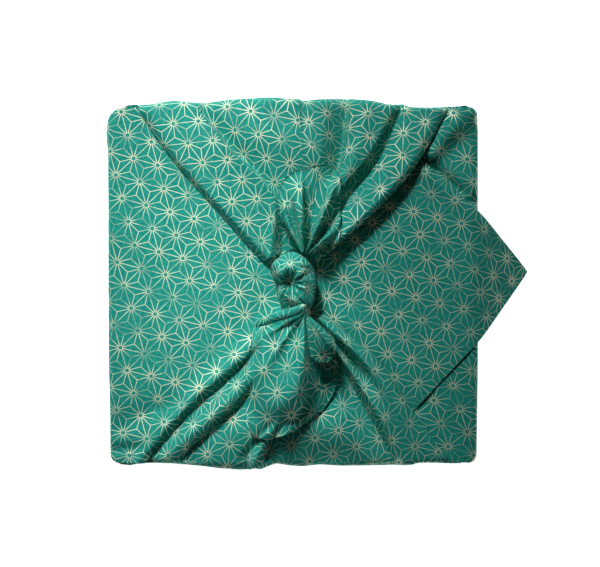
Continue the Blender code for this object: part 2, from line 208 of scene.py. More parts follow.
BACK_LINES = (
    Line(-72, 124, 45.9, -46, 95, 46, -20, 60, 46.8, -4, 21, 49),
    Line(-112.6, 125, 46, -89.6, 90.4, 46.6, -55.6, 51.3, 46.8, -21, 15.5, 49.5),
    Line(-111.4, 125, 49.7, -88.4, 91.2, 49, -54.4, 52.6, 49, -20.3, 16.6, 51.5),
    Line(-106, 126, 52.2, -85.2, 93.3, 54, -51.4, 56, 55.2, -18.7, 19.6, 55.5),
    Line(-92, 126, 52.5, -66, 97, 55.5, -35, 60, 56.4, -18.6, 18.8, 56.5),
    Line(-76, 126, 52.5, -54, 98, 56.4, -24, 62, 56.5, -18, 19.2, 57.5),
    Line(-67.5, 126, 53.1, -46, 98, 57.1, -14, 63, 59.8, -16.6, 20, 58),
    Line(-64.8, 126, 47.2, -43.8, 98.8, 48.8, -11.4, 64, 52.4, -6.5, 24, 47),
    Line(-57, 126.5, 50.3, -35.5, 102, 53.2, -4.5, 67, 55, -2.5, 25, 47),
    Line(-36, 126, 51.6, -20, 103, 56.5, 1, 69, 53.9, 1, 26, 49),
    Line(-14, 127, 53.1, -7, 101, 57.1, 5, 70, 54.5, 3, 26, 51),
    Line(4.4, 128, 54.2, 6.2, 99, 58, 8, 69, 54.8, 4.6, 26, 52),
    Line(5.4, 127.6, 52.8, 6.9, 99, 57.5, 8.6, 69, 54.6, 4.9, 26, 52),
    Line(7.4, 127.4, 52.5, 8.2, 98.5, 57.5, 9.8, 68.8, 54.6, 5.6, 26, 52),
    Line(16, 127, 53.8, 15, 98, 58, 14, 68, 54.8, 8, 26, 52),
    Line(24, 127, 53.1, 20.5, 95, 57.1, 17, 67, 54.2, 9, 26, 52),
    Line(39, 126.5, 45.8, 34, 90.5, 46.5, 22.5, 64, 48.5, 10.5, 25, 50),
    Line(41.8, 127, 52.1, 36.6, 90, 54.9, 24.5, 63, 54.5, 11, 24.5, 51),
    Line(52, 127, 54.2, 44.5, 92, 58.5, 27.5, 65, 57.5, 11.6, 24, 53),
    Line(73, 127.5, 53.2, 54, 93.4, 57.2, 32.4, 66.4, 57.8, 12.4, 23.4, 55),
    Line(78.6, 126, 47.2, 62, 90.8, 47.4, 40, 62.5, 48.6, 13.6, 22.4, 53),
    Line(80.6, 125.8, 50.1, 64, 89.8, 51.5, 41.6, 61.2, 53.3, 14.4, 21.6, 54.5),
    Line(92, 126.5, 53.4, 73, 87, 57.5, 47.6, 56.6, 57.6, 16, 20.2, 57.4),
    Line(106, 126, 53.6, 81.6, 83.6, 59.4, 52.2, 51.6, 60.2, 17.4, 18.2, 60.2),
    Line(112.6, 125.5, 50.6, 86.2, 82, 55.8, 54.8, 48.2, 57.5, 18.6, 16.5, 57.6),
    Line(110.8, 125.4, 49.1, 84.4, 82.4, 51.5, 52.6, 48.8, 51.2, 17.4, 17, 53),
    Line(66, 124, 45.9, 50, 92, 45.9, 30, 58, 47.4, 10, 20, 51),
)
BACK_STEPS = (8, 2, 3, 7, 8, 5, 4, 5, 8, 9, 8, 4, 5, 6, 6, 8, 4, 7, 8, 6, 2, 6, 7, 4, 2, 8)

FRONT_LINES = (
    Line(-109, -124, 44.7, -77, -86, 44.6, -45, -58, 44.8, -15, -28, 49),
    Line(-104.8, -125, 45.3, -72, -89.5, 45.2, -40.5, -62, 46, -13, -30, 51.5),
    Line(-99.6, -125.5, 50.4, -68, -95, 51.3, -38, -67, 52.2, -12, -31, 55.1),
    Line(-94.4, -126, 53, -65.6, -101, 55.2, -36.6, -72, 56.2, -11, -32, 58.6),
    Line(-87.6, -126, 52, -60.8, -102.5, 53.4, -34.4, -75.5, 55, -10.5, -32.5, 58),
    Line(-79.6, -125.4, 46.2, -56, -102, 47, -32.2, -79, 48.5, -9.5, -33, 55.1),
    Line(-70, -125.4, 46.6, -48, -104, 49.4, -27, -83, 51.7, -8, -33, 56.9),
    Line(-56, -126, 48, -38, -106, 52.6, -20, -86, 54.9, -5, -33, 59.8),
    Line(-42, -126, 48.8, -28, -108, 53.6, -14, -88, 54, -3, -33, 54),
    Line(-33.5, -124.4, 46.2, -24, -109, 50.3, -11, -89, 52.7, -2, -33, 53),
    Line(-27.5, -127.6, 56.2, -20, -111, 55.6, -8, -90, 53.1, -1, -33, 53),
    Line(-19, -124.6, 44.8, -14, -109, 48.8, -5, -89, 52.3, 0, -33, 53),
    Line(-9, -126, 48.6, -6, -108, 53.1, -1, -89, 52.4, 1.5, -33, 53),
    Line(10, -126.5, 47.2, 6, -107, 53.6, 4, -88, 51.4, 3.5, -32, 53),
    Line(30, -126.5, 46.6, 20, -106, 53, 12, -84, 49.6, 6, -31, 52),
    Line(50, -126.5, 47.4, 35, -103, 53.4, 22, -76, 47.6, 9, -30, 51),
    Line(62, -126, 47.2, 43, -93, 46.6, 30, -67, 45.6, 10.5, -29, 50.6),
    Line(72.5, -126, 46.8, 52.4, -90.6, 45.5, 35.4, -61.5, 45.4, 12.5, -28, 50),
    Line(80.6, -127, 53.9, 59.2, -89.6, 56.1, 40.2, -59.4, 55, 14.6, -26.5, 57.5),
    Line(84, -127, 52.6, 65, -86.6, 54, 44, -56, 45.6, 16, -25.5, 55.1),
    Line(88, -127, 53, 71, -83.6, 56.1, 49.8, -53.6, 58.4, 18.5, -24, 59.8),
    Line(95, -126.5, 52, 77.6, -83, 54, 56, -50.6, 55.6, 20, -22.5, 57.5),
    Line(104, -126, 51.4, 83, -87, 50.6, 60, -52.4, 50.4, 21, -21, 52),
    Line(112, -125.5, 49.4, 87.6, -91, 47.8, 65, -57.6, 46.8, 23, -20, 48.5),
    Line(94, -124.5, 45.9, 72, -91, 45.6, 56, -60, 45.4, 20, -22, 46.5),
)
FRONT_STEPS = (3, 4, 4, 4, 5, 6, 8, 8, 6, 4, 4, 6, 8, 9, 9, 7, 5, 5, 2, 3, 5, 5, 5, 3)

# An arm is laid at these shares of its run, its folds rounded less towards the knot.
ARM_SHARES = np.concatenate((np.linspace(0.0, 0.06, 4)[:-1], np.linspace(0.06, 1.0, 66)))
ARM_SOFTNESS = 1.1
ARM_SHARPER = 0.45

# An arm's cloth rounds the rim, then spreads down the wall. At the foot: how much wider, how far
# out and how high each row lies, and what a tuck takes off its reach and adds to its level.
ARM_RIM_DROP = 6.5
ARM_FLARE = 0.10
ARM_WALL_OUT = 130.0
ARM_WALL_FOOT = 4.2
ARM_WALL_SHARES = (1.0, 0.86, 0.7, 0.54, 0.38, 0.22, 0.1)
Foot = namedtuple("Foot", "wider reach reach_tuck level level_tuck")
ARM_FOOT = (
    Foot(1.08, 120, 0, 0.3, 0.2),
    Foot(1.10, 126, 1, 0.3, 0.2),
    Foot(1.10, 128.8, 1, 1.5, 0),
)

# The outline at the parcel's edge: how far out the cloth reaches along each side.
BACK_RIM = (
    (-134, 129.5), (-122, 130.4), (-116, 131.4), (-105, 131.2), (-96, 133), (-85, 134.2), (-76, 133.2),
    (-68, 132.4), (-56, 133.6), (-46, 135), (-30, 135.8), (-18, 136.5), (-8, 135.9), (-2, 135.2),
    (5, 135.4), (8, 134), (20, 135.1), (36, 135.7), (48, 134.8), (58, 133.8), (68, 131.6), (74, 131.2),
    (80, 131.8), (84, 129.8), (95, 128.6), (112, 128.8), (115, 129.6), (129, 130.8), (134, 129),
)
FRONT_RIM = (
    (-134, 129.6), (-118, 131), (-111, 129.4), (-103, 129.2), (-88, 129.6), (-81, 130.8), (-66, 132),
    (-52, 133.7), (-38, 134.6), (-31, 134.4), (-28, 133), (-23, 134.2), (-12, 130), (-3, 131.4),
    (7, 132.2), (19, 130.8), (35, 131.8), (62, 131.4), (86, 130.8), (90, 129.4), (110, 128.8), (134, 129.2),
)
LEFT_RIM = (
    (-130, -0.8), (-98, -0.8), (-60, 0.2), (0, 0.6), (60, 0.6), (95, 0.8), (111, 2.2), (119, 1.2), (130, 0.4),
)
RIGHT_RIM = ((-130, -0.4), (-60, 0.6), (0, 0.8), (60, 0.6), (110, 0.6), (130, 0.2))

# A piece of print: where one star sits, and the two steps that lead to its neighbours.
Print = namedtuple("Print", "x y one_x one_y two_x two_y")
STAR_PITCH = 17.9

LEFT_BACK_PRINT = Print(-111.1, 74.9, 17.41, -4.95, 12.9, 11.98)
LEFT_FRONT_PRINT = Print(-104.8, -4.6, 17.49, -4.26, 12.65, 12.21)
FLAP_PRINT = Print(59.2, -16.9, 17.4, -4.32, 12.62, 12.32)
RIGHT_BACK_PRINT = Print(112.6, 80.4, 19.0, -5.6, 13.9, 11.0)
RIGHT_FRONT_PRINT = Print(116.3, -73.2, 19.0, -6.1, 13.9, 10.6)

# Along x (0) or y (1), a panel's print turns into another piece, whose first star lies the given
# steps away on the same print.
Turn = namedtuple("Turn", "axis start end print steps")
LEFT_TURNS = (Turn(1, 50.0, -20.0, LEFT_FRONT_PRINT, (4, -5)), Turn(0, -45.0, 45.0, FLAP_PRINT, (12, -3)))
RIGHT_TURNS = (Turn(1, 50.0, -40.0, RIGHT_FRONT_PRINT, (8, -10)),)

# Facets of the arms: the first line, the last line, the line that keeps its place, and the print.
Facet = namedtuple("Facet", "first last keep print")


def straight_print(x, y, turn):
    """A piece of print with even steps, turned as the cloth lies there."""
    one = radians(turn)
    two = one + pi / 3
    return Print(x, y, *(STAR_PITCH * step for step in (cos(one), sin(one), cos(two), sin(two))))


BACK_FACETS = (
    Facet(0, 6, 3, Print(-75.9, 102.6, 18, 1.9, 7.4, 16)),
    Facet(6, 11, 9, Print(-42.1, 112.1, 17.1, -3.4, 11.4, 13.8)),
    Facet(11, 16, 14, Print(13.6, 101.3, 15.7, -9.9, 13.6, 6.5)),
    Facet(16, 20, 18, Print(55.7, 108, 16.9, -5.5, 15.3, 10.4)),
    Facet(20, 26, 22, Print(79.1, 93.6, 14.4, -8.5, 15.5, 7.9)),
)
FRONT_FACETS = (
    Facet(0, 5, 3, Print(-72.9, -100.2, 13.8, 5.7, 3.7, 17.4)),
    Facet(5, 10, 8, straight_print(-45.9, -115.3, 25)),
    Facet(10, 17, 14, straight_print(15.9, -110.7, 18)),
    Facet(17, 24, 23, FLAP_PRINT),
)

# An arm with its facets, and how deep the tucks are that some of its lines make at the rim.
Arm = namedtuple("Arm", "lines steps facets side rim tucks")
BACK_TUCKS = {0: 1.6, 12: 0.8, 25: 0.8, 26: 1.6}
FRONT_TUCKS = {0: 1.4, 24: 0.8}
BACK_ARM = Arm(BACK_LINES, BACK_STEPS, BACK_FACETS, 1, BACK_RIM, BACK_TUCKS)
FRONT_ARM = Arm(FRONT_LINES, FRONT_STEPS, FRONT_FACETS, -1, FRONT_RIM, FRONT_TUCKS)

# ---- free ends and knot ----

# A pleat of a free end: its direction and reach, and its height at four shares of the reach.
Pleat = namedtuple("Pleat", "turn reach z0 z1 z2 z3")
PLEAT_STATIONS = (0.0, 0.33, 0.68, 1.0)

UPPER_PLEATS = (
    Pleat(40, 20, 58, 54, 53, 53),
    Pleat(14, 20, 60, 57.5, 55, 55),
    Pleat(22, 27, 63, 61.5, 58, 57),
    Pleat(33, 31, 63.5, 66.5, 63.5, 58.5),
    Pleat(41, 34, 64.5, 70.5, 68, 60),
    Pleat(46, 38, 63.5, 66, 64.5, 60),
    Pleat(52, 42, 62, 58.5, 58, 57.5),
    Pleat(57, 49, 62, 59.5, 60, 59),
    Pleat(63, 58, 64, 67.5, 65.5, 61),
    Pleat(66, 64, 65.5, 73, 68.5, 61.5),
    Pleat(68.5, 67, 64, 69.5, 66.5, 61),
    Pleat(72, 70, 60.5, 57, 59, 60),
    Pleat(80, 68, 59.5, 53, 55.5, 59.5),
    Pleat(89, 64, 60.5, 55.5, 58.5, 60),
    Pleat(91.5, 63.5, 65.5, 71, 67.5, 61.5),
    Pleat(95, 63, 66.5, 73, 68, 61.5),
    Pleat(99.5, 61, 65.5, 70, 66, 61),
    Pleat(103.5, 58.5, 62, 58.5, 60, 60),
    Pleat(109, 54, 61, 56.5, 58.5, 59),
    Pleat(112.5, 48, 64.5, 67, 64, 60),
    Pleat(117, 40, 64.5, 68, 64.5, 59.5),
    Pleat(123, 31, 62, 60, 58, 56),
    Pleat(112, 38, 58.5, 54.8, 54, 54),
)
UPPER_STEPS = (4, 4, 4, 3, 4, 4, 4, 5, 6, 5, 4, 5, 5, 3, 3, 3, 3, 4, 5, 4, 4, 3)

LOWER_PLEATS = (
    Pleat(214, 36, 58, 55, 54, 53),
    Pleat(196, 33, 62, 60, 57.5, 55),
    Pleat(203, 38, 64, 65.5, 62, 56.5),
    Pleat(211, 45, 65, 69.5, 65.5, 57.5),
    Pleat(219, 51, 64, 67, 64.5, 58),
    Pleat(228, 62, 64, 67.5, 65, 58.5),
    Pleat(235, 74, 66, 70.5, 66.5, 58.5),
    Pleat(241, 85, 65, 68, 66, 57),
    Pleat(247.5, 98, 64, 67.5, 66.5, 54.5),
    Pleat(254, 96, 66, 71.5, 71, 58.5),
    Pleat(260, 91, 67.5, 74, 74.5, 62.5),
    Pleat(265, 87, 68.5, 76, 75.5, 59.5),
    Pleat(270, 81, 69, 76.5, 71.5, 56),
    Pleat(278, 75, 66, 67.5, 61, 53),
    Pleat(287, 66, 61.5, 58.5, 54, 50.5),
    Pleat(294, 58, 59.5, 55, 52, 50),
    Pleat(301, 49, 58.5, 53.5, 50.5, 49.5),
    Pleat(307, 41, 58.5, 54, 50.5, 49),
    Pleat(303, 40, 57, 52, 49, 48.5),
)
LOWER_STEPS = (4, 4, 5, 5, 6, 7, 7, 8, 8, 8, 7, 7, 7, 7, 7, 7, 6, 4)

LOBE_PLEATS = (
    Pleat(276, 30, 62, 64, 62.5, 61),
    Pleat(278, 33, 66, 70.5, 69, 66),
    Pleat(284, 37, 67.5, 73.5, 72, 68.5),
    Pleat(289, 38, 66, 70, 69, 67),
    Pleat(294, 40, 67.5, 73.8, 73, 69),
    Pleat(300, 39, 66, 70, 69, 67),
    Pleat(305, 38, 67.5, 74.5, 73.5, 70),
    Pleat(311, 34, 66.5, 73.5, 72.5, 68.5),
    Pleat(319, 27, 63, 64.5, 63, 61),
    Pleat(312, 25, 60, 60, 60, 59),
)
LOBE_STEPS = (4, 4, 4, 4, 4, 4, 4, 4, 3)

# How far the outer edge of a free end may stand off the cloth below it, by direction.
UPPER_LIFT = ((0, 4.0), (50, 4.0), (66, 0.6), (80, -0.5), (86, -1.2), (180, -1.2))
LOWER_LIFT = ((180, 1.0), (246, 1.0), (256, 6.0), (262, 7.0), (276, 5.0), (320, 4.0))
LOBE_LIFT = ((260, 10.0), (330, 12.0))

UPPER_FACETS = (
    Facet(0, 12, 8, Print(22.4, 62.6, 17, -6.5, 12.4, 12.6)),
    Facet(12, 22, 15, Print(4.6, 70.9, 17, -5.5, 10.8, 14.6)),
)
LOWER_FACETS = (Facet(0, 18, 7, Print(-17.9, -94.9, 17.8, 1.1, 7.5, 17.5)),)
LOBE_FACETS = (Facet(0, 9, 4, straight_print(20.5, -50.0, 40.0)),)

# A free end: its middle, its pleats, the directions between which its end is hemmed, and how
# clear of the cloth below it stays. The lobe is the lower end's second, smaller fold.
FreeEnd = namedtuple("FreeEnd", "neck pleats steps facets hem_turns clearance lift")
UPPER_END = FreeEnd((8.0, 20.0), UPPER_PLEATS, UPPER_STEPS, UPPER_FACETS, (54, 110), 1.5, UPPER_LIFT)
LOWER_END = FreeEnd((8.0, -19.0), LOWER_PLEATS, LOWER_STEPS, LOWER_FACETS, (248, 290), 1.5, LOWER_LIFT)
LOBE_END = FreeEnd((8.5, -19.0), LOBE_PLEATS, LOBE_STEPS, LOBE_FACETS, (0, 0), 1.4, LOBE_LIFT)
FREE_END_START = 4.0
FREE_END_ROWS = 54
FREE_END_SOFTNESS = 0.9
FREE_END_SHARPEST = 0.35
FREE_END_ROLL_RADIUS = 0.45
FREE_END_ROLL_WIDTH = 9.0
OUTER_START = 0.7

# The knot round its pinch: reach and crown height in each direction, with the small creases
# that run into the pinch between them.
Lobe = namedtuple("Lobe", "turn reach crown shoulder")

PINCH = (-3.0, 1.6, 65.0)
KNOT_LOBES = (
    Lobe(0, 19.8, 74.5, 69.5),
    Lobe(14, 19.8, 75, 69.5),
    Lobe(25, 20.4, 73.6, 69),
    Lobe(34, 20.6, 76.2, 71),
    Lobe(52, 21, 76.6, 73.5),
    Lobe(70, 22, 76, 72.5),
    Lobe(82, 22.6, 75.2, 71.5),
    Lobe(95, 21.8, 75.8, 71.5),
    Lobe(112, 19, 76, 71.5),
    Lobe(128, 18.4, 75.4, 70.5),
    Lobe(142, 15.8, 73, 67.5),
    Lobe(160, 12.2, 69.6, 64.5),
    Lobe(178, 9.6, 68.2, 62.5),
    Lobe(196, 8.4, 68.2, 62),
    Lobe(214, 9.4, 70, 64),
    Lobe(230, 12.6, 72.2, 66.5),
    Lobe(246, 15.6, 73.6, 68.5),
    Lobe(262, 19.4, 74.2, 70),
    Lobe(276, 22, 74.4, 70.5),
    Lobe(290, 23.4, 73, 70.5),
    Lobe(302, 24.6, 73.6, 71),
    Lobe(316, 23.6, 74.2, 72),
    Lobe(330, 21.6, 75, 70.5),
    Lobe(346, 20.2, 74.6, 69.5),
)

# A lobe's profile: how far out, and the share of the climb from the pinch to the crown, then how
# far out, and the drop below the shoulder, then the foot.
KNOT_RISE = ((0.0, 0.0), (0.16, 0.35), (0.34, 0.85), (0.55, 1.0))
KNOT_FALL = ((0.76, 0.0), (0.92, 3.0), (1.0, 7.0), (0.98, 12.0))
KNOT_FOOT = (0.9, 52.0)
KNOT_START = 0.02
KNOT_ROWS = 46
KNOT_COLUMNS = 181
KNOT_PRINT = straight_print(1.0, 20.0, 34.0)

# Creases that cross the knot's top, and puckers in a ring round the pinch.
KNOT_CREASES = (
    Relief(((2.5, 13.2), (9, 12.8), (17.5, 12.4)), -1.3, -1, 0.5, 1.4),
    Relief(((0, 0.5), (4, 0.2), (9, 0.8)), 1.3, 0.4, 0.8, 0.9),
    Relief(((-0.5, -1.5), (5, -2.4), (10, -2)), 1, 0.3, 0.7, 0.8),
    Relief(((-1, -2), (1.5, -7), (7.5, -13.8)), -1.8, -1.2, 0.9, 0.9),
    Relief(((-2, -3), (-6, -6.5), (-9, -8)), 0.9, 0.2, 0.8, 0.8),
    Relief(((-3, 3), (-10, 5.5)), -1.6, -0.6, 1, 1.3),
    Relief(((-2, 4), (-6, 10), (-9, 13)), -1, -0.5, 0.8, 0.8),
    Relief(((0, 4), (3, 10), (2, 15)), -1.2, -0.6, 0.8, 0.8),
    Relief(((1, 3), (6, 7)), -0.9, -0.2, 0.7, 0.7),
    Relief(((6.5, 11), (7, 2), (6.2, -8), (7.5, -16)), -0.9, -0.9, 0.8, 1.2),
    Relief(((8, -15.4), (16, -16.2)), -0.9, -0.6, 0.8, 0.7),
    Relief(((8, -18), (15, -19)), -1, -0.8, 0.7, 0.7),
)
KNOT_CREASED_ABOVE = 62
PUCKERS = 11
PUCKER_SWAYS = 3
PUCKER_SWAY = 1.3
PUCKER_RING = 6.0
PUCKER_WIDTH = 4.5
PUCKER_HEIGHT = 1.2

# Tight strands of cloth that leave the knot: their path, and their radius along it.
Strand = namedtuple("Strand", "path radius")
STRANDS = (
    Strand(
        ((10, -13, 68), (4, -17.5, 69.5), (-6, -21, 67.5), (-16, -24.5, 60), (-26, -29, 48)),
        (2, 3.2, 3.6, 3.6, 3),
    ),
    Strand(
        ((11, -17, 65), (5, -21, 68.2), (-3, -24.6, 67.2), (-12, -28.5, 62.6), (-21, -34, 54)),
        (1.8, 2.4, 2.8, 3, 2.4),
    ),
    Strand(
        ((12, -19, 63), (8, -22.4, 66.5), (3, -26, 66.5), (-4, -30.5, 63.4), (-12, -37, 57)),
        (1.4, 2, 2.2, 2.4, 1.8),
    ),
)
STRAND_TURN = 125
STRAND_ROWS = 34
STRAND_COLUMNS = 23

# Above every fold, and a level inside the wrap: cloth faces away from it, mostly upwards.
ABOVE_ALL = 200.0
INSIDE_LEVEL = 22.0
OUTWARD_WEIGHTS = (0.35, 0.35, 1.0)
JOIN_GAP = 0.02
SHORTEST_EDGE = 0.002

# ---- colours and light ----

TEAL = (0.020, 0.400, 0.300, 1.0)
TEAL_DEEP = (0.009, 0.275, 0.238, 1.0)
GOLD = (0.90, 0.97, 0.71, 1.0)
WHITE = (1.0, 1.0, 1.0, 1.0)
GOLD_METALLIC = 0.75
GOLD_SMOOTHER = 0.28
CLOTH_ROUGHNESS = 0.8
CLOTH_SPECULAR = 0.15
PAPER = (0.9, 0.9, 0.9, 1.0)
PAPER_ROUGHNESS = 0.9
PAPER_SPECULAR = 0.1

# Noise in the cloth: its waves to the metre, and how much finer detail it has.
RAGGED_NOISE = (900.0, 3.0)
WEAR_NOISE = (60.0, 4.0)
TONE_NOISE = (420.0, 5.0)
CRUMPLE_NOISE = (130.0, 4.0)

# The gold lines, in star pitches: half their width, where they fade out, how ragged they are, and
# how much fuller near a star's middle, which itself stays bare.
LINE_HALF_WIDTH = 0.0055
LINE_END = 0.018
LINE_RAGGED = 0.016
LINE_FULLER = 0.006
LINE_FULLER_REACH = (0.08, 0.30)
STAR_HOLLOW = (0.070, 0.085)

# Between these levels of the noise the gold goes from worn to full, and the teal from deep to light.
WEAR = (0.36, 0.56)
LEAST_GOLD = 0.3
TONES = (0.32, 0.68)

# Threads, stitches and what stands out from the cloth, in metres, and how strongly it shows.
RELIEF_STRENGTH = 0.8
WARP_PITCH = 0.00042
WEFT_PITCH = 0.00046
WEAVE_HEIGHT = 0.00003
GOLD_HEIGHT = 0.00003
CRUMPLE_HEIGHT = 0.00045
HEM_HEIGHT = 0.00006
SEAM_DEPTH = 0.00014
SEAM_FADE = (0.0003, 0.0010)
STITCH_PITCH = 0.0026
STITCH_START = -0.35
HEM_EDGE = 0.6

# The studio, in metres, watts and degrees.
FLOOR_SIDE = 8.0
ROOM_LIGHT = 0.012
Lamp = namedtuple("Lamp", "name place target wide high power spread")
LAMPS = (
    Lamp("key", (-0.26, 0.82, 0.66), (0.0, 0.0, 0.04), 0.22, 0.22, 3.2, 120),
    Lamp("key_left", (-0.21, 0.70, 0.66), (-0.058, -0.030, 0.04), 0.08, 0.2, 0.090, 18),
    Lamp("overhead", (-0.19, 0.05, 1.25), (-0.105, 0.01, 0.04), 0.2, 0.2, 0.018, 17),
)
CAMERA_PLACE = (0.0051, 0.0011, 1.6)
CAMERA_LENS = 128.3
CAMERA_SENSOR = 36.0
CAMERA_FAR = 20.0

# ---- laying out cloth ----


def through(stations, values, shares):
    """Values of a smooth run at the given shares, through the values known at its stations."""
    stations = np.asarray(stations, float)
    values = np.asarray(values, float)
    shares = np.asarray(shares, float)
    slopes = np.gradient(values, stations, axis=0)
    k = np.clip(np.searchsorted(stations, shares, side="right") - 1, 0, len(stations) - 2)
    shape = (-1,) + (1,) * (values.ndim - 1)
    gap = (stations[k + 1] - stations[k]).reshape(shape)
    f = (shares - stations[k]).reshape(shape) / gap
    start = (1 + 2 * f) * (1 - f) ** 2 * values[k] + f * (1 - f) ** 2 * gap * slopes[k]
    end = f * f * (3 - 2 * f) * values[k + 1] + f * f * (f - 1) * gap * slopes[k + 1]
    return start + end


def line_columns(steps):
    """The column at which each line of a strip lies, with the given steps between lines."""
    return np.concatenate(([0], np.cumsum(steps)))


def fill_between(values, steps):
    """Evenly filled columns between the values of neighbouring lines."""
    marks = line_columns(steps)
    place = np.interp(np.arange(marks[-1] + 1), marks, np.arange(len(marks)))
    low = np.minimum(place.astype(int), len(marks) - 2)
    part = (place - low)[:, None]
    return values[..., low, :] * (1 - part) + values[..., low + 1, :] * part


def run_along(row):
    """How far along the cloth each point of a row lies."""
    steps = np.linalg.norm(np.diff(row, axis=-2), axis=-1)
    start = np.zeros(steps.shape[:-1] + (1,))
    return np.concatenate((start, np.cumsum(steps, axis=-1)), axis=-1)


def run_down(rows):
    """How far each point lies along its column, from the first row on."""
    return run_along(np.swapaxes(rows, 0, 1)).T


def soften(rows, reach):
    """Rounds the folds across each row, over about reach along the cloth."""
    rounded = []
    for row, span in zip(rows, np.broadcast_to(reach, len(rows))):
        run = run_along(row)
        near = np.exp(-(((run[:, None] - run) / span) ** 2) / 2) * np.gradient(run)
        rounded.append(near @ row / near.sum(axis=1, keepdims=True))
    return np.array(rounded)


def smooth_step(share):
    """A share from 0 to 1, with a soft start and a soft end."""
    share = np.clip(share, 0.0, 1.0)
    return share * share * (3 - 2 * share)


def beside(x, y, line):
    """Distance from a plan line, positive to its left, and the share of its run alongside."""
    best = np.full(np.shape(x), np.inf)
    signed = np.zeros(np.shape(x))
    share = np.zeros(np.shape(x))
    points = np.asarray(line, float)
    runs = run_along(points)
    for k, (start, end) in enumerate(zip(points, points[1:])):
        ahead = end - start
        span = ahead @ ahead
        along = ((x - start[0]) * ahead[0] + (y - start[1]) * ahead[1]) / span
        near = np.clip(along, 0.0, 1.0)
        gap = np.hypot(x - start[0] - near * ahead[0], y - start[1] - near * ahead[1])
        closer = gap < best
        left = np.where(ahead[0] * (y - start[1]) - ahead[1] * (x - start[0]) >= 0, 1.0, -1.0)
        best = np.where(closer, gap, best)
        signed = np.where(closer, left * gap, signed)
        share = np.where(closer, (runs[k] + near * sqrt(span)) / runs[-1], share)
    return signed, share


def relief_height(x, y, reliefs):
    """Height of the ridges and troughs at a place."""
    height = np.zeros(np.shape(x))
    for relief in reliefs:
        gap, share = beside(x, y, relief.line)
        width = np.where(gap > 0, relief.left, relief.right)
        height += (relief.start + (relief.end - relief.start) * share) * np.exp(-((gap / width) ** 2))
    return height


def uneven(x, y, swells):
    """Height of the cloth's slow swells at a place."""
    height = np.zeros(np.shape(x))
    for swell in swells:
        for index in np.ndindex(height.shape):
            place = Vector((x[index] / swell.size, y[index] / swell.size, swell.slice))
            height[index] += swell.height * noise.noise(place)
    return height


def under_arm(x, y, weight, lead_left, lead_right):
    """How far an arm presses the cloth down, from 0 to 1. A lead lets it start outside the edge."""
    left, _ = beside(x, y, weight.left)
    right, _ = beside(x, y, weight.right)
    from_left = smooth_step((weight.side * left + lead_left) / weight.left_run)
    from_right = smooth_step((lead_right - weight.side * right) / weight.right_run)
    return np.minimum(from_left, from_right) * (weight.side * y > 0)


def left_height(x, y):
    """Height of the left-hand panel."""
    under_back = under_arm(x, y, BACK_WEIGHT, LEFT_BACK_LEAD, 0.0)
    sunk = np.maximum(under_back, under_arm(x, y, FRONT_WEIGHT, FRONT_LEAD, LEFT_FRONT_LEAD))
    relief = relief_height(x, y, LEFT_RELIEF) * (1 - sunk)
    swell = uneven(x, y, LEFT_SWELLS)
    return LEFT_TOP + (LEFT_SUNK - LEFT_TOP) * sunk + relief + swell * (1 - sunk)


def right_height(x, y):
    """Height of the right-hand panel, which is pressed down under the flap too."""
    half, centre = flap_span(x)
    inside = half - np.abs(y - centre)
    under_flap = smooth_step((inside - UNDER_FLAP_START) / UNDER_FLAP_RUN)
    at_rim = smooth_step((y - RIGHT_LEAD_Y) / RIGHT_LEAD_RUN)
    lead = RIGHT_LEAD + (RIGHT_LEAD_AT_RIM - RIGHT_LEAD) * at_rim
    under_back = under_arm(x, y, BACK_WEIGHT, 0.0, lead)
    under_front = under_arm(x, y, FRONT_WEIGHT, FRONT_LEAD, RIGHT_FRONT_LEAD)
    sunk = np.maximum(under_flap, np.maximum(under_back, under_front))
    raised = relief_height(x, y, RIGHT_RELIEF) + uneven(x, y, RIGHT_SWELLS)
    return RIGHT_TOP + (RIGHT_SUNK - RIGHT_TOP) * sunk + raised * (1 - sunk)


def flap_line(run):
    """x and height along the hanging corner: level, then bent down, then straight."""
    flat = np.minimum(run, FLAP_BEND - FLAP_START)
    arc = np.clip(run - flat, 0.0, FLAP_DROOP * FLAP_BEND_RADIUS)
    turn = arc / FLAP_BEND_RADIUS
    straight = run - flat - arc
    x = FLAP_START + flat + FLAP_BEND_RADIUS * np.sin(turn) + straight * np.cos(turn)
    drop = FLAP_BEND_RADIUS * (1 - np.cos(turn)) + straight * np.sin(turn)
    return x, drop


def flap_span(x):
    """Half the breadth of the left-hand panel at x, and the middle of that breadth."""
    runs = np.linspace(0.0, FLAP_RUN, FLAP_SAMPLES)
    share = np.interp(x, flap_line(runs)[0], runs / FLAP_RUN)
    return (1 - share) * PANEL_EDGE_Y + share * FLAP_TIP_HALF, share * FLAP_TIP_Y


# ---- print ----


def star_place(flat, piece):
    """Turns places on the flat cloth into places on the print, in metres."""
    x = flat[..., 0] - piece.x
    y = flat[..., 1] - piece.y
    det = piece.one_x * piece.two_y - piece.one_y * piece.two_x
    one = (x * piece.two_y - y * piece.two_x) / det
    two = (y * piece.one_x - x * piece.one_y) / det
    return star_steps(one, two)


def star_steps(one, two):
    """The place on the print that lies the given steps from its first star."""
    return np.stack((one + two / 2, two * sqrt(3) / 2), axis=-1) * STAR_PITCH * MM


def panel_place(flat, piece, turns):
    """Places on the print of a panel, whose piece of print turns into others."""
    place = star_place(flat, piece)
    for turn in turns:
        share = smooth_step((flat[..., turn.axis] - turn.start) / (turn.end - turn.start))[..., None]
        other = star_place(flat, turn.print) + star_steps(*turn.steps)
        place = place * (1 - share) + other * share
    return place


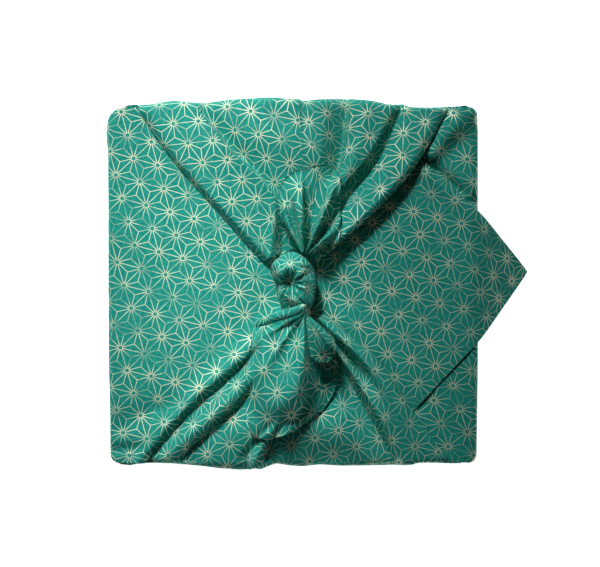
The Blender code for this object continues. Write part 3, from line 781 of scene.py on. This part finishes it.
def eased_flat(rows, keep):
    """Plan places, with the extra run of every slope added across the strip from its keep column."""
    extra = run_along(rows) - run_along(rows[..., :2])
    extra = extra - extra[:, keep][:, None]
    across = np.sum(rows[:, -1, :2] - rows[:, 0, :2], axis=0)
    across = across / np.linalg.norm(across)
    return rows[..., :2] + extra[..., None] * across


def unrolled(rows, top_row, toward):
    """Places on the flat cloth: plan from top_row on, and the run of each column before it."""
    flat = rows[..., :2].copy()
    run = run_down(rows[:top_row + 1])
    run = run[-1] - run
    flat[:top_row + 1] = rows[top_row, :, :2] + run[..., None] * np.asarray(toward, float)
    return flat


def facet_places(rows, flat, top_row, steps, facets):
    """Places on the print at the near and far side of each column, where every facet has a piece
    of its own. Rows before top_row follow the first row above them."""
    marks = line_columns(steps)
    near = []
    far = []
    for facet in facets:
        columns = slice(marks[facet.first], marks[facet.last] + 1)
        laid = flat[:, columns].copy()
        laid[top_row:] = eased_flat(rows[top_row:, columns], marks[facet.keep] - marks[facet.first])
        laid[:top_row] += laid[top_row] - rows[top_row, columns, :2]
        place = star_place(laid, facet.print)
        near.append(place[:, :-1])
        far.append(place[:, 1:])
    return np.concatenate(near, axis=1), np.concatenate(far, axis=1)


# ---- strips ----

strips = []


def lay(rows, near, far=None, hem=None, hem_run=None):
    """Lays a strip: its rows of points, and the print at the near and far side of each column.
    hem is the distance to a hemmed edge, and hem_run the run along that edge."""
    rows = np.asarray(rows, float)
    if far is None:
        far = near[:, 1:]
        near = near[:, :-1]
    if hem is None:
        hem = np.full(rows.shape[:2], NO_HEM)
        hem_run = np.zeros(rows.shape[:2])
    strips.append((rows, near, far, np.stack((hem_run, hem), axis=-1) * MM))


def roll_under(edge, inward, print_edge, radius, width, edge_run=None):
    """The cloth rolled under along an edge: a small roll, then a return that lies below. A hemmed
    edge gives its run."""
    down = np.array((0.0, 0.0, -1.0))
    columns = []
    for turn in ROLL_TURNS:
        a = radians(turn)
        columns.append(edge - inward * radius * sin(a) + down * radius * (1 - cos(a)))
    for share in RETURN_SHARES:
        columns.append(edge + inward * width * share + down * radius * 2)
    rows = np.stack(columns, axis=1)
    run = run_along(rows)[..., None] * MM
    outward = -inward[:, :2] / np.linalg.norm(inward[:, :2], axis=1, keepdims=True)
    place = print_edge[:, None, :] + run * outward[:, None, :]
    if edge_run is None:
        lay(rows, place)
        return
    hem = np.full(rows.shape[:2], NO_HEM)
    hem[:, :len(ROLL_TURNS)] = 0.0
    lay(rows, place, hem=hem, hem_run=np.repeat(edge_run[:, None], rows.shape[1], axis=1))


def roll_edges(rows, place, rolls):
    """Rolls the front and the back edge of a panel under, each roll between two of its rows."""
    for column, side in ((0, -1), (-1, 1)):
        for roll, first, last in rolls:
            edge = rows[first:last, column]
            inward = np.tile((roll.in_x, side * roll.in_y, 0.0), (len(edge), 1))
            edge_run = edge[:, 0] if roll.hemmed else None
            roll_under(edge, inward, place[first:last, column], roll.radius, roll.width, edge_run)


# ---- walls and side panels ----


def side_columns(side):
    """Plan of a side wall and its two corners, from the front to the back."""
    arcs = []
    for end in (-1, 1):
        radius = CORNER_RADII[side, end]
        turns = np.radians(np.linspace(90, 0, CORNER_COLUMNS))
        out = HALF_WIDTH - radius + radius * np.cos(turns)
        arcs.append(np.stack((out, end * (HALF_DEPTH - radius + radius * np.sin(turns))), axis=1))
    wall_y = np.linspace(arcs[0][-1, 1], arcs[1][-1, 1], WALL_COLUMNS)[1:-1]
    wall = np.stack((np.full_like(wall_y, HALF_WIDTH), wall_y), axis=1)
    return np.concatenate((arcs[0], wall, arcs[1][::-1])) * (side, 1)


def wall_rows(plan, lean):
    """Rows up a wall, from under the foot to where its upper edge begins to turn."""
    rows = []
    for inset, rise in FOOT_ROWS:
        level = np.full(len(plan), FOOT_LEVEL + rise)
        rows.append(np.column_stack((plan * (1 - inset / HALF_WIDTH), level)))
    foot, top = WALL_LEVELS[0], WALL_LEVELS[-1]
    for level in WALL_LEVELS:
        leaning = lean * smooth_step((level - foot) / (top - foot))
        rows.append(np.column_stack((plan + leaning, np.full(len(plan), level))))
    return rows


def side_panel(side, height, rim_out):
    """Rows of a side panel from under the foot, up the wall and on to its level top."""
    plan = side_columns(side)
    out = side * np.interp(plan[:, 1], *np.array(rim_out).T)
    radius = np.where(plan[:, 1] > 0, CORNER_RADII[side, 1], CORNER_RADII[side, -1])
    corner_share = 1 - (HALF_WIDTH - np.abs(plan[:, 0])) / radius
    rows = wall_rows(plan, np.stack((out * corner_share, np.zeros(len(plan))), axis=1))
    top_y = plan[:, 1] * PANEL_EDGE_Y / HALF_DEPTH
    top_x = side * (HALF_WIDTH - radius + (RIM_X - HALF_WIDTH + radius) * corner_share)
    start = rows[-1]
    top_z = height(top_x, top_y)
    for turn in range(RIM_STEP, 90 + RIM_STEP, RIM_STEP):
        a = radians(turn)
        x = top_x + (start[:, 0] - top_x) * cos(a)
        y = top_y + (start[:, 1] - top_y) * cos(a)
        z = start[:, 2] + (top_z - start[:, 2]) * sin(a)
        rows.append(np.column_stack((x, y, z)))
    return rows, top_x, top_y


def lay_left_panel():
    """The left-hand panel, with the corner that hangs past the right-hand edge."""
    rows, top_x, top_y = side_panel(-1, left_height, LEFT_RIM)
    top_row = len(rows) - 1
    for x in np.concatenate([np.linspace(*stretch) for stretch in LEFT_STRETCHES]):
        row_x = np.full(len(top_y), x)
        if x < LEFT_BEND_END:
            row_x = np.maximum(x, top_x + LEFT_BEND_SHARE * (x - LEFT_BEND_START))
        rows.append(np.column_stack((row_x, top_y, left_height(row_x, top_y))))
    flat_rows = len(rows)
    share_y = top_y / PANEL_EDGE_Y
    runs = np.linspace(0.0, FLAP_RUN, FLAP_ROWS + 1)[1:]
    half_rows = []
    for run in runs:
        x, drop = flap_line(run)
        half, centre = flap_span(x)
        half_rows.append(half)
        row_x = np.full(len(share_y), x)
        row_y = centre + half * share_y
        rows.append(np.column_stack((row_x, row_y, left_height(row_x, row_y) - drop)))
    rows = np.array(rows)
    flat = unrolled(rows, top_row, (-1.0, 0.0))
    flat[flat_rows:, :, 0] = FLAP_START + runs[:, None]
    place = panel_place(flat, LEFT_BACK_PRINT, LEFT_TURNS)
    edge_gap = np.full(rows.shape[:2], NO_HEM)
    slope = np.hypot(PANEL_EDGE_Y / FLAP_RUN, 1.0)
    edge_gap[flat_rows:] = np.array(half_rows)[:, None] * (1 - np.abs(share_y)) / slope
    edge_run = np.repeat(rows[:, :1, 0], rows.shape[1], axis=1)
    lay(rows, place, hem=edge_gap, hem_run=edge_run)
    roll_edges(rows, place, ((PANEL_ROLL, top_row + 1, flat_rows + 1), (FLAP_ROLL, flat_rows, -1)))


def lay_right_panel():
    """The right-hand panel, and its corner out of sight."""
    rows, _, top_y = side_panel(1, right_height, RIGHT_RIM)
    top_row = len(rows) - 1
    for x in np.concatenate([np.linspace(*stretch) for stretch in RIGHT_STRETCHES]):
        row_x = np.full(len(top_y), x)
        rows.append(np.column_stack((row_x, top_y, right_height(row_x, top_y))))
    for x, half, level in RIGHT_TAIL:
        row_y = top_y / PANEL_EDGE_Y * half
        rows.append(np.column_stack((np.full(len(top_y), x), row_y, np.full(len(top_y), level))))
    rows = np.array(rows)
    place = panel_place(unrolled(rows, top_row, (1.0, 0.0)), RIGHT_BACK_PRINT, RIGHT_TURNS)
    lay(rows, place)
    roll_edges(rows, place, ((PANEL_ROLL, top_row + 1, top_row + 1 + RIGHT_ROLLED_ROWS),))


def lay_end_wall(side, rim):
    """The cloth up the back or the front, under the arm, with its lip at the corner slots."""
    left = CORNER_RADII[-1, side] - HALF_WIDTH
    right = HALF_WIDTH - CORNER_RADII[1, side]
    x = np.concatenate((
        np.linspace(left, -SLOT_END_X, SLOT_COLUMNS),
        np.linspace(-UNDER_ARM_X, UNDER_ARM_X, UNDER_ARM_COLUMNS),
        np.linspace(SLOT_END_X, right, SLOT_COLUMNS),
    ))
    plan = np.column_stack((x, np.full_like(x, side * HALF_DEPTH)))
    rows = wall_rows(plan, np.zeros_like(plan))
    reach = np.interp(x, *np.array(rim).T)
    reach = np.where(np.abs(x) > SLOT_X, reach, np.minimum(reach, UNDER_ARM_REACH))
    reach[0] = reach[-1] = HALF_DEPTH
    lip = 1 - LIP_THINNER * smooth_step((np.abs(x) - LIP_THIN_X) / LIP_THIN_RUN)
    for inset, level in END_LIP:
        rows.append(np.column_stack((x, side * (reach - inset * lip), np.full_like(x, level))))
    rows = np.array(rows)
    flat = np.stack((rows[..., 0], side * (HALF_DEPTH + END_WALL_RUN - run_down(rows))), axis=-1)
    lay(rows, star_place(flat, LEFT_BACK_PRINT))


def lay_bottom():
    """The cloth under the parcel, pressed flat, with a faint unevenness."""
    x = np.linspace(-1, 1, BOTTOM_COLUMNS) * (HALF_WIDTH - BOTTOM_MARGIN)
    y = np.linspace(-1, 1, BOTTOM_ROWS) * (HALF_DEPTH - BOTTOM_MARGIN)
    grid_x, grid_y = np.meshgrid(x, y)
    rows = np.stack((grid_x, grid_y, BOTTOM_LEVEL + uneven(grid_x, grid_y, BOTTOM_SWELLS)), axis=-1)
    lay(rows, star_place(rows[..., :2], LEFT_FRONT_PRINT))


# ---- arms ----


def lay_arm(arm):
    """An arm: its folds run in from the parcel's edge to the knot, and down the wall."""
    stations = np.array(arm.lines).reshape(-1, len(STATIONS), 3).swapaxes(0, 1)
    top = fill_between(through(STATIONS, stations, ARM_SHARES), arm.steps)
    top = soften(top, ARM_SOFTNESS * (1 - ARM_SHARPER * ARM_SHARES))
    top[..., 2] += uneven(top[..., 0], top[..., 1], ARM_SWELLS)
    tuck = np.zeros((1, len(arm.lines), 1))
    for line, depth in arm.tucks.items():
        tuck[0, line, 0] = depth
    tuck = fill_between(tuck, arm.steps)[0, :, 0]
    edge_x, edge_y, edge_z = top[0, :, 0], np.abs(top[0, :, 1]), top[0, :, 2]
    reach = np.interp(edge_x, *np.array(arm.rim).T) - tuck
    low = edge_z - ARM_RIM_DROP
    walls = []
    for foot in ARM_FOOT:
        foot_y = foot.reach - foot.reach_tuck * tuck
        walls.append((edge_x * foot.wider, foot_y, foot.level + foot.level_tuck * tuck))
    for share in ARM_WALL_SHARES:
        wall_y = reach + (ARM_WALL_OUT - tuck - reach) * smooth_step(share)
        walls.append((edge_x * (1 + ARM_FLARE * share), wall_y, low + (ARM_WALL_FOOT - low) * share))
    for turn in range(0, 90, RIM_STEP):
        a = radians(turn)
        walls.append((edge_x, edge_y + (reach - edge_y) * cos(a), low + ARM_RIM_DROP * sin(a)))
    walls = np.array(walls).swapaxes(1, 2) * (1, arm.side, 1)
    rows = np.concatenate((walls, top))
    flat = unrolled(rows, len(walls), (0.0, float(arm.side)))
    lay(rows, *facet_places(rows, flat, len(walls), arm.steps, arm.facets))


# ---- free ends and knot ----


def cloth_below():
    """A function that gives the height of the cloth laid so far at a place in plan."""
    points = []
    faces = []
    for rows, *_ in strips:
        base = len(points)
        count = rows.shape[1]
        points.extend(rows.reshape(-1, 3).tolist())
        for r in range(rows.shape[0] - 1):
            for c in range(count - 1):
                k = base + r * count + c
                faces.append((k, k + 1, k + count + 1, k + count))
    tree = BVHTree.FromPolygons(points, faces)

    def height(x, y):
        hit = tree.ray_cast(Vector((x, y, ABOVE_ALL)), Vector((0, 0, -1)))[0]
        return hit.z if hit else 0.0
    return height


def lay_free_end(end, below):
    """A free end: a fan of pleats that opens from the knot and rests on the cloth below."""
    shares = np.linspace(0.0, 1.0, FREE_END_ROWS)
    fine = fill_between(np.array(end.pleats)[None], end.steps)[0]
    heights = through(PLEAT_STATIONS, fine[:, 2:].T, shares)
    turns = np.radians(fine[:, 0])
    reach = FREE_END_START + shares[:, None] * (fine[:, 1] - FREE_END_START)
    x = end.neck[0] + reach * np.cos(turns)
    y = end.neck[1] + reach * np.sin(turns)
    span = FREE_END_SOFTNESS * (FREE_END_SHARPEST + (1 - FREE_END_SHARPEST) * shares)
    rows = soften(np.stack((x, y, heights), axis=-1), span)
    rows[..., 2] += uneven(rows[..., 0], rows[..., 1], FREE_END_SWELLS)
    floor = np.array([[below(px, py) for px, py, _ in row] for row in rows])
    rest = np.maximum(rows[..., 2], floor + end.clearance)
    outer = smooth_step((shares - OUTER_START) / (1 - OUTER_START))[:, None]
    highest = floor + end.clearance + np.interp(fine[:, 0], *np.array(end.lift).T)
    rows[..., 2] = rest * (1 - outer) + np.minimum(rest, highest) * outer
    near, far = facet_places(rows, rows[..., :2], 0, end.steps, end.facets)
    on_hem = (fine[:, 0] > end.hem_turns[0]) & (fine[:, 0] < end.hem_turns[1])
    hem = np.where(on_hem[None, :], (1 - shares)[:, None] * reach, NO_HEM)
    along = np.repeat(run_along(rows[-1])[None, :], len(rows), axis=0)
    lay(rows, near, far, hem=hem, hem_run=along)
    inward = np.stack((-np.cos(turns), -np.sin(turns), np.zeros(len(turns))), axis=1)
    end_place = np.concatenate((near[-1], far[-1, -1:]))
    roll_under(rows[-1], inward, end_place, FREE_END_ROLL_RADIUS, FREE_END_ROLL_WIDTH)


def knot_column(lobe, outs):
    """The knot along one lobe: outs run from the pinch over the crown to the foot."""
    turn, reach, crown, shoulder = lobe
    pinch_x, pinch_y, pinch_z = PINCH
    profile = [(out, pinch_z + share * (crown - pinch_z)) for out, share in KNOT_RISE]
    profile += [(out, shoulder - drop) for out, drop in KNOT_FALL]
    profile.append(KNOT_FOOT)
    out, z = through(np.linspace(0, 1, len(profile)), profile, outs).T
    return np.column_stack((
        pinch_x + reach * out * cos(radians(turn)),
        pinch_y + reach * out * sin(radians(turn)),
        z,
    ))


def lay_knot():
    """The knot: a ring of lobes round the pinch, with its creases and puckers."""
    lobes = np.array(KNOT_LOBES + (KNOT_LOBES[0]._replace(turn=360),))
    turns = np.linspace(0.0, 360.0, KNOT_COLUMNS)
    outs = np.linspace(KNOT_START, 1.0, KNOT_ROWS)
    table = through(lobes[:, 0], lobes, turns)
    rows = np.stack([knot_column(lobe, outs) for lobe in table], axis=1)
    gap = np.hypot(rows[..., 0] - PINCH[0], rows[..., 1] - PINCH[1])
    angle = np.radians(turns)[None, :]
    waves = np.sin(PUCKERS * angle + PUCKER_SWAY * np.sin(PUCKER_SWAYS * angle))
    pucker = waves * np.exp(-(((gap - PUCKER_RING) / PUCKER_WIDTH) ** 2)) * PUCKER_HEIGHT
    creases = relief_height(rows[..., 0], rows[..., 1], KNOT_CREASES)
    rows[..., 2] += pucker + creases * (rows[..., 2] > KNOT_CREASED_ABOVE)
    rows[..., 2] += uneven(rows[..., 0], rows[..., 1], KNOT_SWELLS)
    rows[:, -1] = rows[:, 0]
    run = run_down(rows)
    flat = np.stack((run * np.cos(angle), run * np.sin(angle)), axis=-1)
    lay(rows, star_place(flat, KNOT_PRINT))


def lay_strand(strand):
    """A tight fold of cloth that leaves the knot: half a tube along its path."""
    marks = np.linspace(0, 1, len(strand.path))
    shares = np.linspace(0, 1, STRAND_ROWS)
    path = through(marks, strand.path, shares)
    radius = through(marks, np.array(strand.radius)[:, None], shares)
    ahead = np.gradient(path, axis=0)
    ahead /= np.linalg.norm(ahead, axis=1, keepdims=True)
    across = np.cross(ahead, (0.0, 0.0, 1.0))
    across /= np.linalg.norm(across, axis=1, keepdims=True)
    up = np.cross(across, ahead)
    turns = np.radians(np.linspace(-STRAND_TURN, STRAND_TURN, STRAND_COLUMNS))
    round_path = np.sin(turns)[None, :, None] * across[:, None] + np.cos(turns)[None, :, None] * up[:, None]
    rows = path[:, None] + radius[..., None] * round_path
    rows += uneven(rows[..., 0], rows[..., 1], STRAND_SWELLS)[..., None] * up[:, None]
    flat = np.stack((np.repeat(run_along(path)[:, None], len(turns), axis=1), turns * radius), axis=-1)
    lay(rows, star_place(flat, KNOT_PRINT))


# ---- mesh ----


def quad_corners(grid):
    """The values of a grid at the four corners of each of its quads."""
    return np.stack((grid[:-1, :-1], grid[:-1, 1:], grid[1:, 1:], grid[1:, :-1]), axis=2)


def make_cloth():
    """Joins the strips to one mesh that faces outward, with its print and its hems."""
    points = []
    faces = []
    prints = []
    hems = []
    base = 0
    for rows, near, far, hem in strips:
        flat_points = rows.reshape(-1, 3)
        quads = quad_corners(np.arange(len(flat_points)).reshape(rows.shape[:2])).reshape(-1, 4)
        uv = np.stack((near[:-1], far[:-1], far[1:], near[1:]), axis=2).reshape(-1, 4, 2)
        edge = quad_corners(hem).reshape(-1, 4, 2)
        a, b, c, d = (flat_points[quads[:, k]] for k in range(4))
        normal = np.cross(c - a, d - b)
        outward = (a + b + c + d) / 4 * OUTWARD_WEIGHTS - (0.0, 0.0, INSIDE_LEVEL)
        turn = -1 if np.sum(normal * outward) < 0 else 1
        points.append(flat_points)
        faces.append(base + quads[:, ::turn])
        prints.append(uv[:, ::turn])
        hems.append(edge[:, ::turn])
        base += len(flat_points)
    data = bpy.data.meshes.new("furoshiki_sheet")
    data.from_pydata((np.concatenate(points) * MM).tolist(), [], np.concatenate(faces).tolist())
    for name, places in (("print", prints), ("hem", hems)):
        data.uv_layers.new(name=name).data.foreach_set("uv", np.concatenate(places).ravel())
    mesh = bmesh.new()
    mesh.from_mesh(data)
    bmesh.ops.remove_doubles(mesh, verts=mesh.verts, dist=JOIN_GAP * MM)
    bmesh.ops.dissolve_degenerate(mesh, edges=mesh.edges, dist=SHORTEST_EDGE * MM)
    mesh.to_mesh(data)
    mesh.free()
    data.shade_smooth()
    cloth = bpy.data.objects.new("furoshiki_sheet", data)
    bpy.context.collection.objects.link(cloth)
    return cloth


# ---- printed cotton ----


def feed(value, socket):
    """Joins a value to a socket, or sets the socket where the value is a constant."""
    if isinstance(value, Value):
        value.tree.links.new(value.socket, socket)
    else:
        socket.default_value = value


def math_node(tree, operation, values, clamp=False):
    """The result of a math node that is given these values."""
    node = tree.nodes.new("ShaderNodeMath")
    node.operation = operation
    node.use_clamp = clamp
    for socket, value in zip(node.inputs, values):
        feed(value, socket)
    return Value(tree, node.outputs[0])


class Value:
    """A value in a material. Sums with it make the nodes that work them out."""

    def __init__(self, tree, socket):
        self.tree = tree
        self.socket = socket

    def math(self, operation, *others, clamp=False):
        return math_node(self.tree, operation, (self, *others), clamp)

    def __add__(self, other):
        return self.math("ADD", other)

    def __sub__(self, other):
        return self.math("SUBTRACT", other)

    def __rsub__(self, other):
        return math_node(self.tree, "SUBTRACT", (other, self))

    def __mul__(self, other):
        return self.math("MULTIPLY", other)

    def __truediv__(self, other):
        return self.math("DIVIDE", other)

    def __gt__(self, limit):
        return self.math("GREATER_THAN", limit)

    def ramp(self, low, high):
        """0 below low and 1 above high, soft between them."""
        node = self.tree.nodes.new("ShaderNodeMapRange")
        node.interpolation_type = "SMOOTHSTEP"
        feed(self, node.inputs["Value"])
        node.inputs["From Min"].default_value = low
        node.inputs["From Max"].default_value = high
        return Value(self.tree, node.outputs["Result"])

    def noise(self, scale, detail):
        """Noise at this place, with scale waves to the metre."""
        node = self.tree.nodes.new("ShaderNodeTexNoise")
        node.inputs["Scale"].default_value = scale
        node.inputs["Detail"].default_value = detail
        feed(self, node.inputs["Vector"])
        return Value(self.tree, node.outputs[0])

    def mix(self, first, second):
        """The first colour where this is 0, the second where it is 1."""
        node = self.tree.nodes.new("ShaderNodeMix")
        node.data_type = "RGBA"
        for socket, value in ((node.inputs[0], self), (node.inputs[6], first), (node.inputs[7], second)):
            feed(value, socket)
        return Value(self.tree, node.outputs[2])


def uv_place(tree, name):
    """The place on a UV map, and its two parts."""
    place = tree.nodes.new("ShaderNodeUVMap")
    place.uv_map = name
    parts = tree.nodes.new("ShaderNodeSeparateXYZ")
    tree.links.new(place.outputs[0], parts.inputs[0])
    return tuple(Value(tree, socket) for socket in (place.outputs[0], parts.outputs[0], parts.outputs[1]))


def hemp_leaf(u, v):
    """How far a place is from the nearest line of the hemp-leaf pattern and from the nearest star's
    middle, in star pitches. The stars lie on a triangular lattice, and each triangle has its three
    sides and three spokes to its middle."""
    pitch = STAR_PITCH * MM
    one = (u - v / sqrt(3)) / pitch
    two = v * (2 / sqrt(3)) / pitch
    in_one = one.math("FRACT")
    in_two = two.math("FRACT")
    upper_half = in_one + in_two > 1.0
    flip = 1.0 - upper_half * 2.0
    b = in_one * flip + upper_half
    c = in_two * flip + upper_half
    a = 1.0 - b - c
    least = a.math("MINIMUM", b.math("MINIMUM", c))
    most = a.math("MAXIMUM", b.math("MAXIMUM", c))
    middle = 1.0 - least - most
    side = least * (sqrt(3) / 2)
    spoke = (middle - least) * 0.5
    line = side.math("MINIMUM", spoke)
    radius = (least * least + middle * middle + least * middle).math("SQRT")
    return line, radius


def gold_print(place, u, v):
    """1 on a gold line and 0 between: ragged, fuller near a star's middle, and worn in places."""
    line, radius = hemp_leaf(u, v)
    ragged = (place.noise(*RAGGED_NOISE) - 0.5) * LINE_RAGGED
    fuller = (1.0 - radius.ramp(*LINE_FULLER_REACH)) * LINE_FULLER
    drawn = 1.0 - (line + ragged - fuller).ramp(LINE_HALF_WIDTH, LINE_END)
    gold = drawn.math("MULTIPLY", radius.ramp(*STAR_HOLLOW), clamp=True)
    kept = place.noise(*WEAR_NOISE).ramp(*WEAR) * (1 - LEAST_GOLD) + LEAST_GOLD
    return gold.math("MULTIPLY", kept, clamp=True)


def cloth_relief(tree, place, u, v, gold):
    """Fine height of the cloth in metres: its weave, its print, its hem with a seam, its crumples."""
    warp = (u * (2 * pi / WARP_PITCH)).math("SINE")
    weft = (v * (2 * pi / WEFT_PITCH)).math("SINE")
    weave = warp * weft
    _, hem_run, hem_gap = uv_place(tree, "hem")
    from_seam = (hem_gap - HEM_WIDTH * MM).math("ABSOLUTE")
    seam = 1.0 - from_seam.ramp(*SEAM_FADE)
    folded = 1.0 - hem_gap.ramp((HEM_WIDTH - HEM_EDGE) * MM, (HEM_WIDTH + HEM_EDGE) * MM)
    stitch = (hem_run * (2 * pi / STITCH_PITCH)).math("SINE") > STITCH_START
    height = weave * WEAVE_HEIGHT + gold * GOLD_HEIGHT
    height = height + folded * HEM_HEIGHT
    height = height - seam * stitch * SEAM_DEPTH
    return height + place.noise(*CRUMPLE_NOISE) * CRUMPLE_HEIGHT


def printed_cotton():
    """Teal cotton with the hemp-leaf pattern in metallic gold."""
    material = bpy.data.materials.new("printed_cotton")
    material.use_nodes = True
    tree = material.node_tree
    surface = tree.nodes["Principled BSDF"]
    place, u, v = uv_place(tree, "print")
    gold = gold_print(place, u, v)
    ground = place.noise(*TONE_NOISE).ramp(*TONES).mix(TEAL_DEEP, TEAL)
    feed(gold.mix(ground, GOLD), surface.inputs["Base Color"])
    feed(gold * GOLD_METALLIC, surface.inputs["Metallic"])
    feed(CLOTH_ROUGHNESS - gold * GOLD_SMOOTHER, surface.inputs["Roughness"])
    surface.inputs["Specular IOR Level"].default_value = CLOTH_SPECULAR
    relief = cloth_relief(tree, place, u, v, gold)
    bump = tree.nodes.new("ShaderNodeBump")
    bump.inputs["Strength"].default_value = RELIEF_STRENGTH
    bump.inputs["Distance"].default_value = 1.0
    feed(relief, bump.inputs["Height"])
    tree.links.new(bump.outputs[0], surface.inputs["Normal"])
    return material


# ---- scene ----


def plain_floor():
    """White paper that gives off its own white, so that no shadow shows on it."""
    bpy.ops.object.select_all(action="DESELECT")
    bpy.ops.mesh.primitive_plane_add(size=FLOOR_SIDE, location=(0, 0, 0))
    floor = bpy.context.object
    floor.name = "studio_floor"
    material = bpy.data.materials.new("white_paper")
    material.use_nodes = True
    surface = material.node_tree.nodes["Principled BSDF"]
    surface.inputs["Base Color"].default_value = PAPER
    surface.inputs["Emission Color"].default_value = WHITE
    surface.inputs["Emission Strength"].default_value = 1.0
    surface.inputs["Roughness"].default_value = PAPER_ROUGHNESS
    surface.inputs["Specular IOR Level"].default_value = PAPER_SPECULAR
    floor.data.materials.append(material)


def soft_box(lamp):
    """A rectangular lamp that looks at its target."""
    light = bpy.data.lights.new(lamp.name, "AREA")
    light.shape = "RECTANGLE"
    light.size = lamp.wide
    light.size_y = lamp.high
    light.energy = lamp.power
    light.spread = radians(lamp.spread)
    item = bpy.data.objects.new(lamp.name, light)
    item.location = lamp.place
    item.rotation_euler = (Vector(lamp.target) - Vector(lamp.place)).to_track_quat("-Z", "Y").to_euler()
    bpy.context.collection.objects.link(item)


def look_down():
    """The camera, straight above."""
    camera = bpy.data.cameras.new("above")
    camera.lens = CAMERA_LENS
    camera.sensor_width = CAMERA_SENSOR
    camera.clip_end = CAMERA_FAR
    item = bpy.data.objects.new("above", camera)
    item.location = CAMERA_PLACE
    bpy.context.collection.objects.link(item)
    bpy.context.scene.camera = item


def studio():
    """The floor, the faint light from all round, the lamps and the camera."""
    plain_floor()
    world = bpy.data.worlds.new("studio")
    world.use_nodes = True
    background = world.node_tree.nodes["Background"]
    background.inputs["Color"].default_value = WHITE
    background.inputs["Strength"].default_value = ROOM_LIGHT
    bpy.context.scene.world = world
    for lamp in LAMPS:
        soft_box(lamp)
    look_down()
    bpy.context.scene.view_settings.view_transform = "Standard"


lay_bottom()
lay_left_panel()
lay_right_panel()
lay_end_wall(1, BACK_RIM)
lay_end_wall(-1, FRONT_RIM)
lay_arm(BACK_ARM)
lay_arm(FRONT_ARM)
below = cloth_below()
lay_free_end(UPPER_END, below)
lay_free_end(LOWER_END, below)
lay_free_end(LOBE_END, cloth_below())
for strand in STRANDS:
    lay_strand(strand)
lay_knot()

cloth = make_cloth()
cloth.data.materials.append(printed_cotton())
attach(cloth, "root")
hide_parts("furoshiki_cloth")
studio()
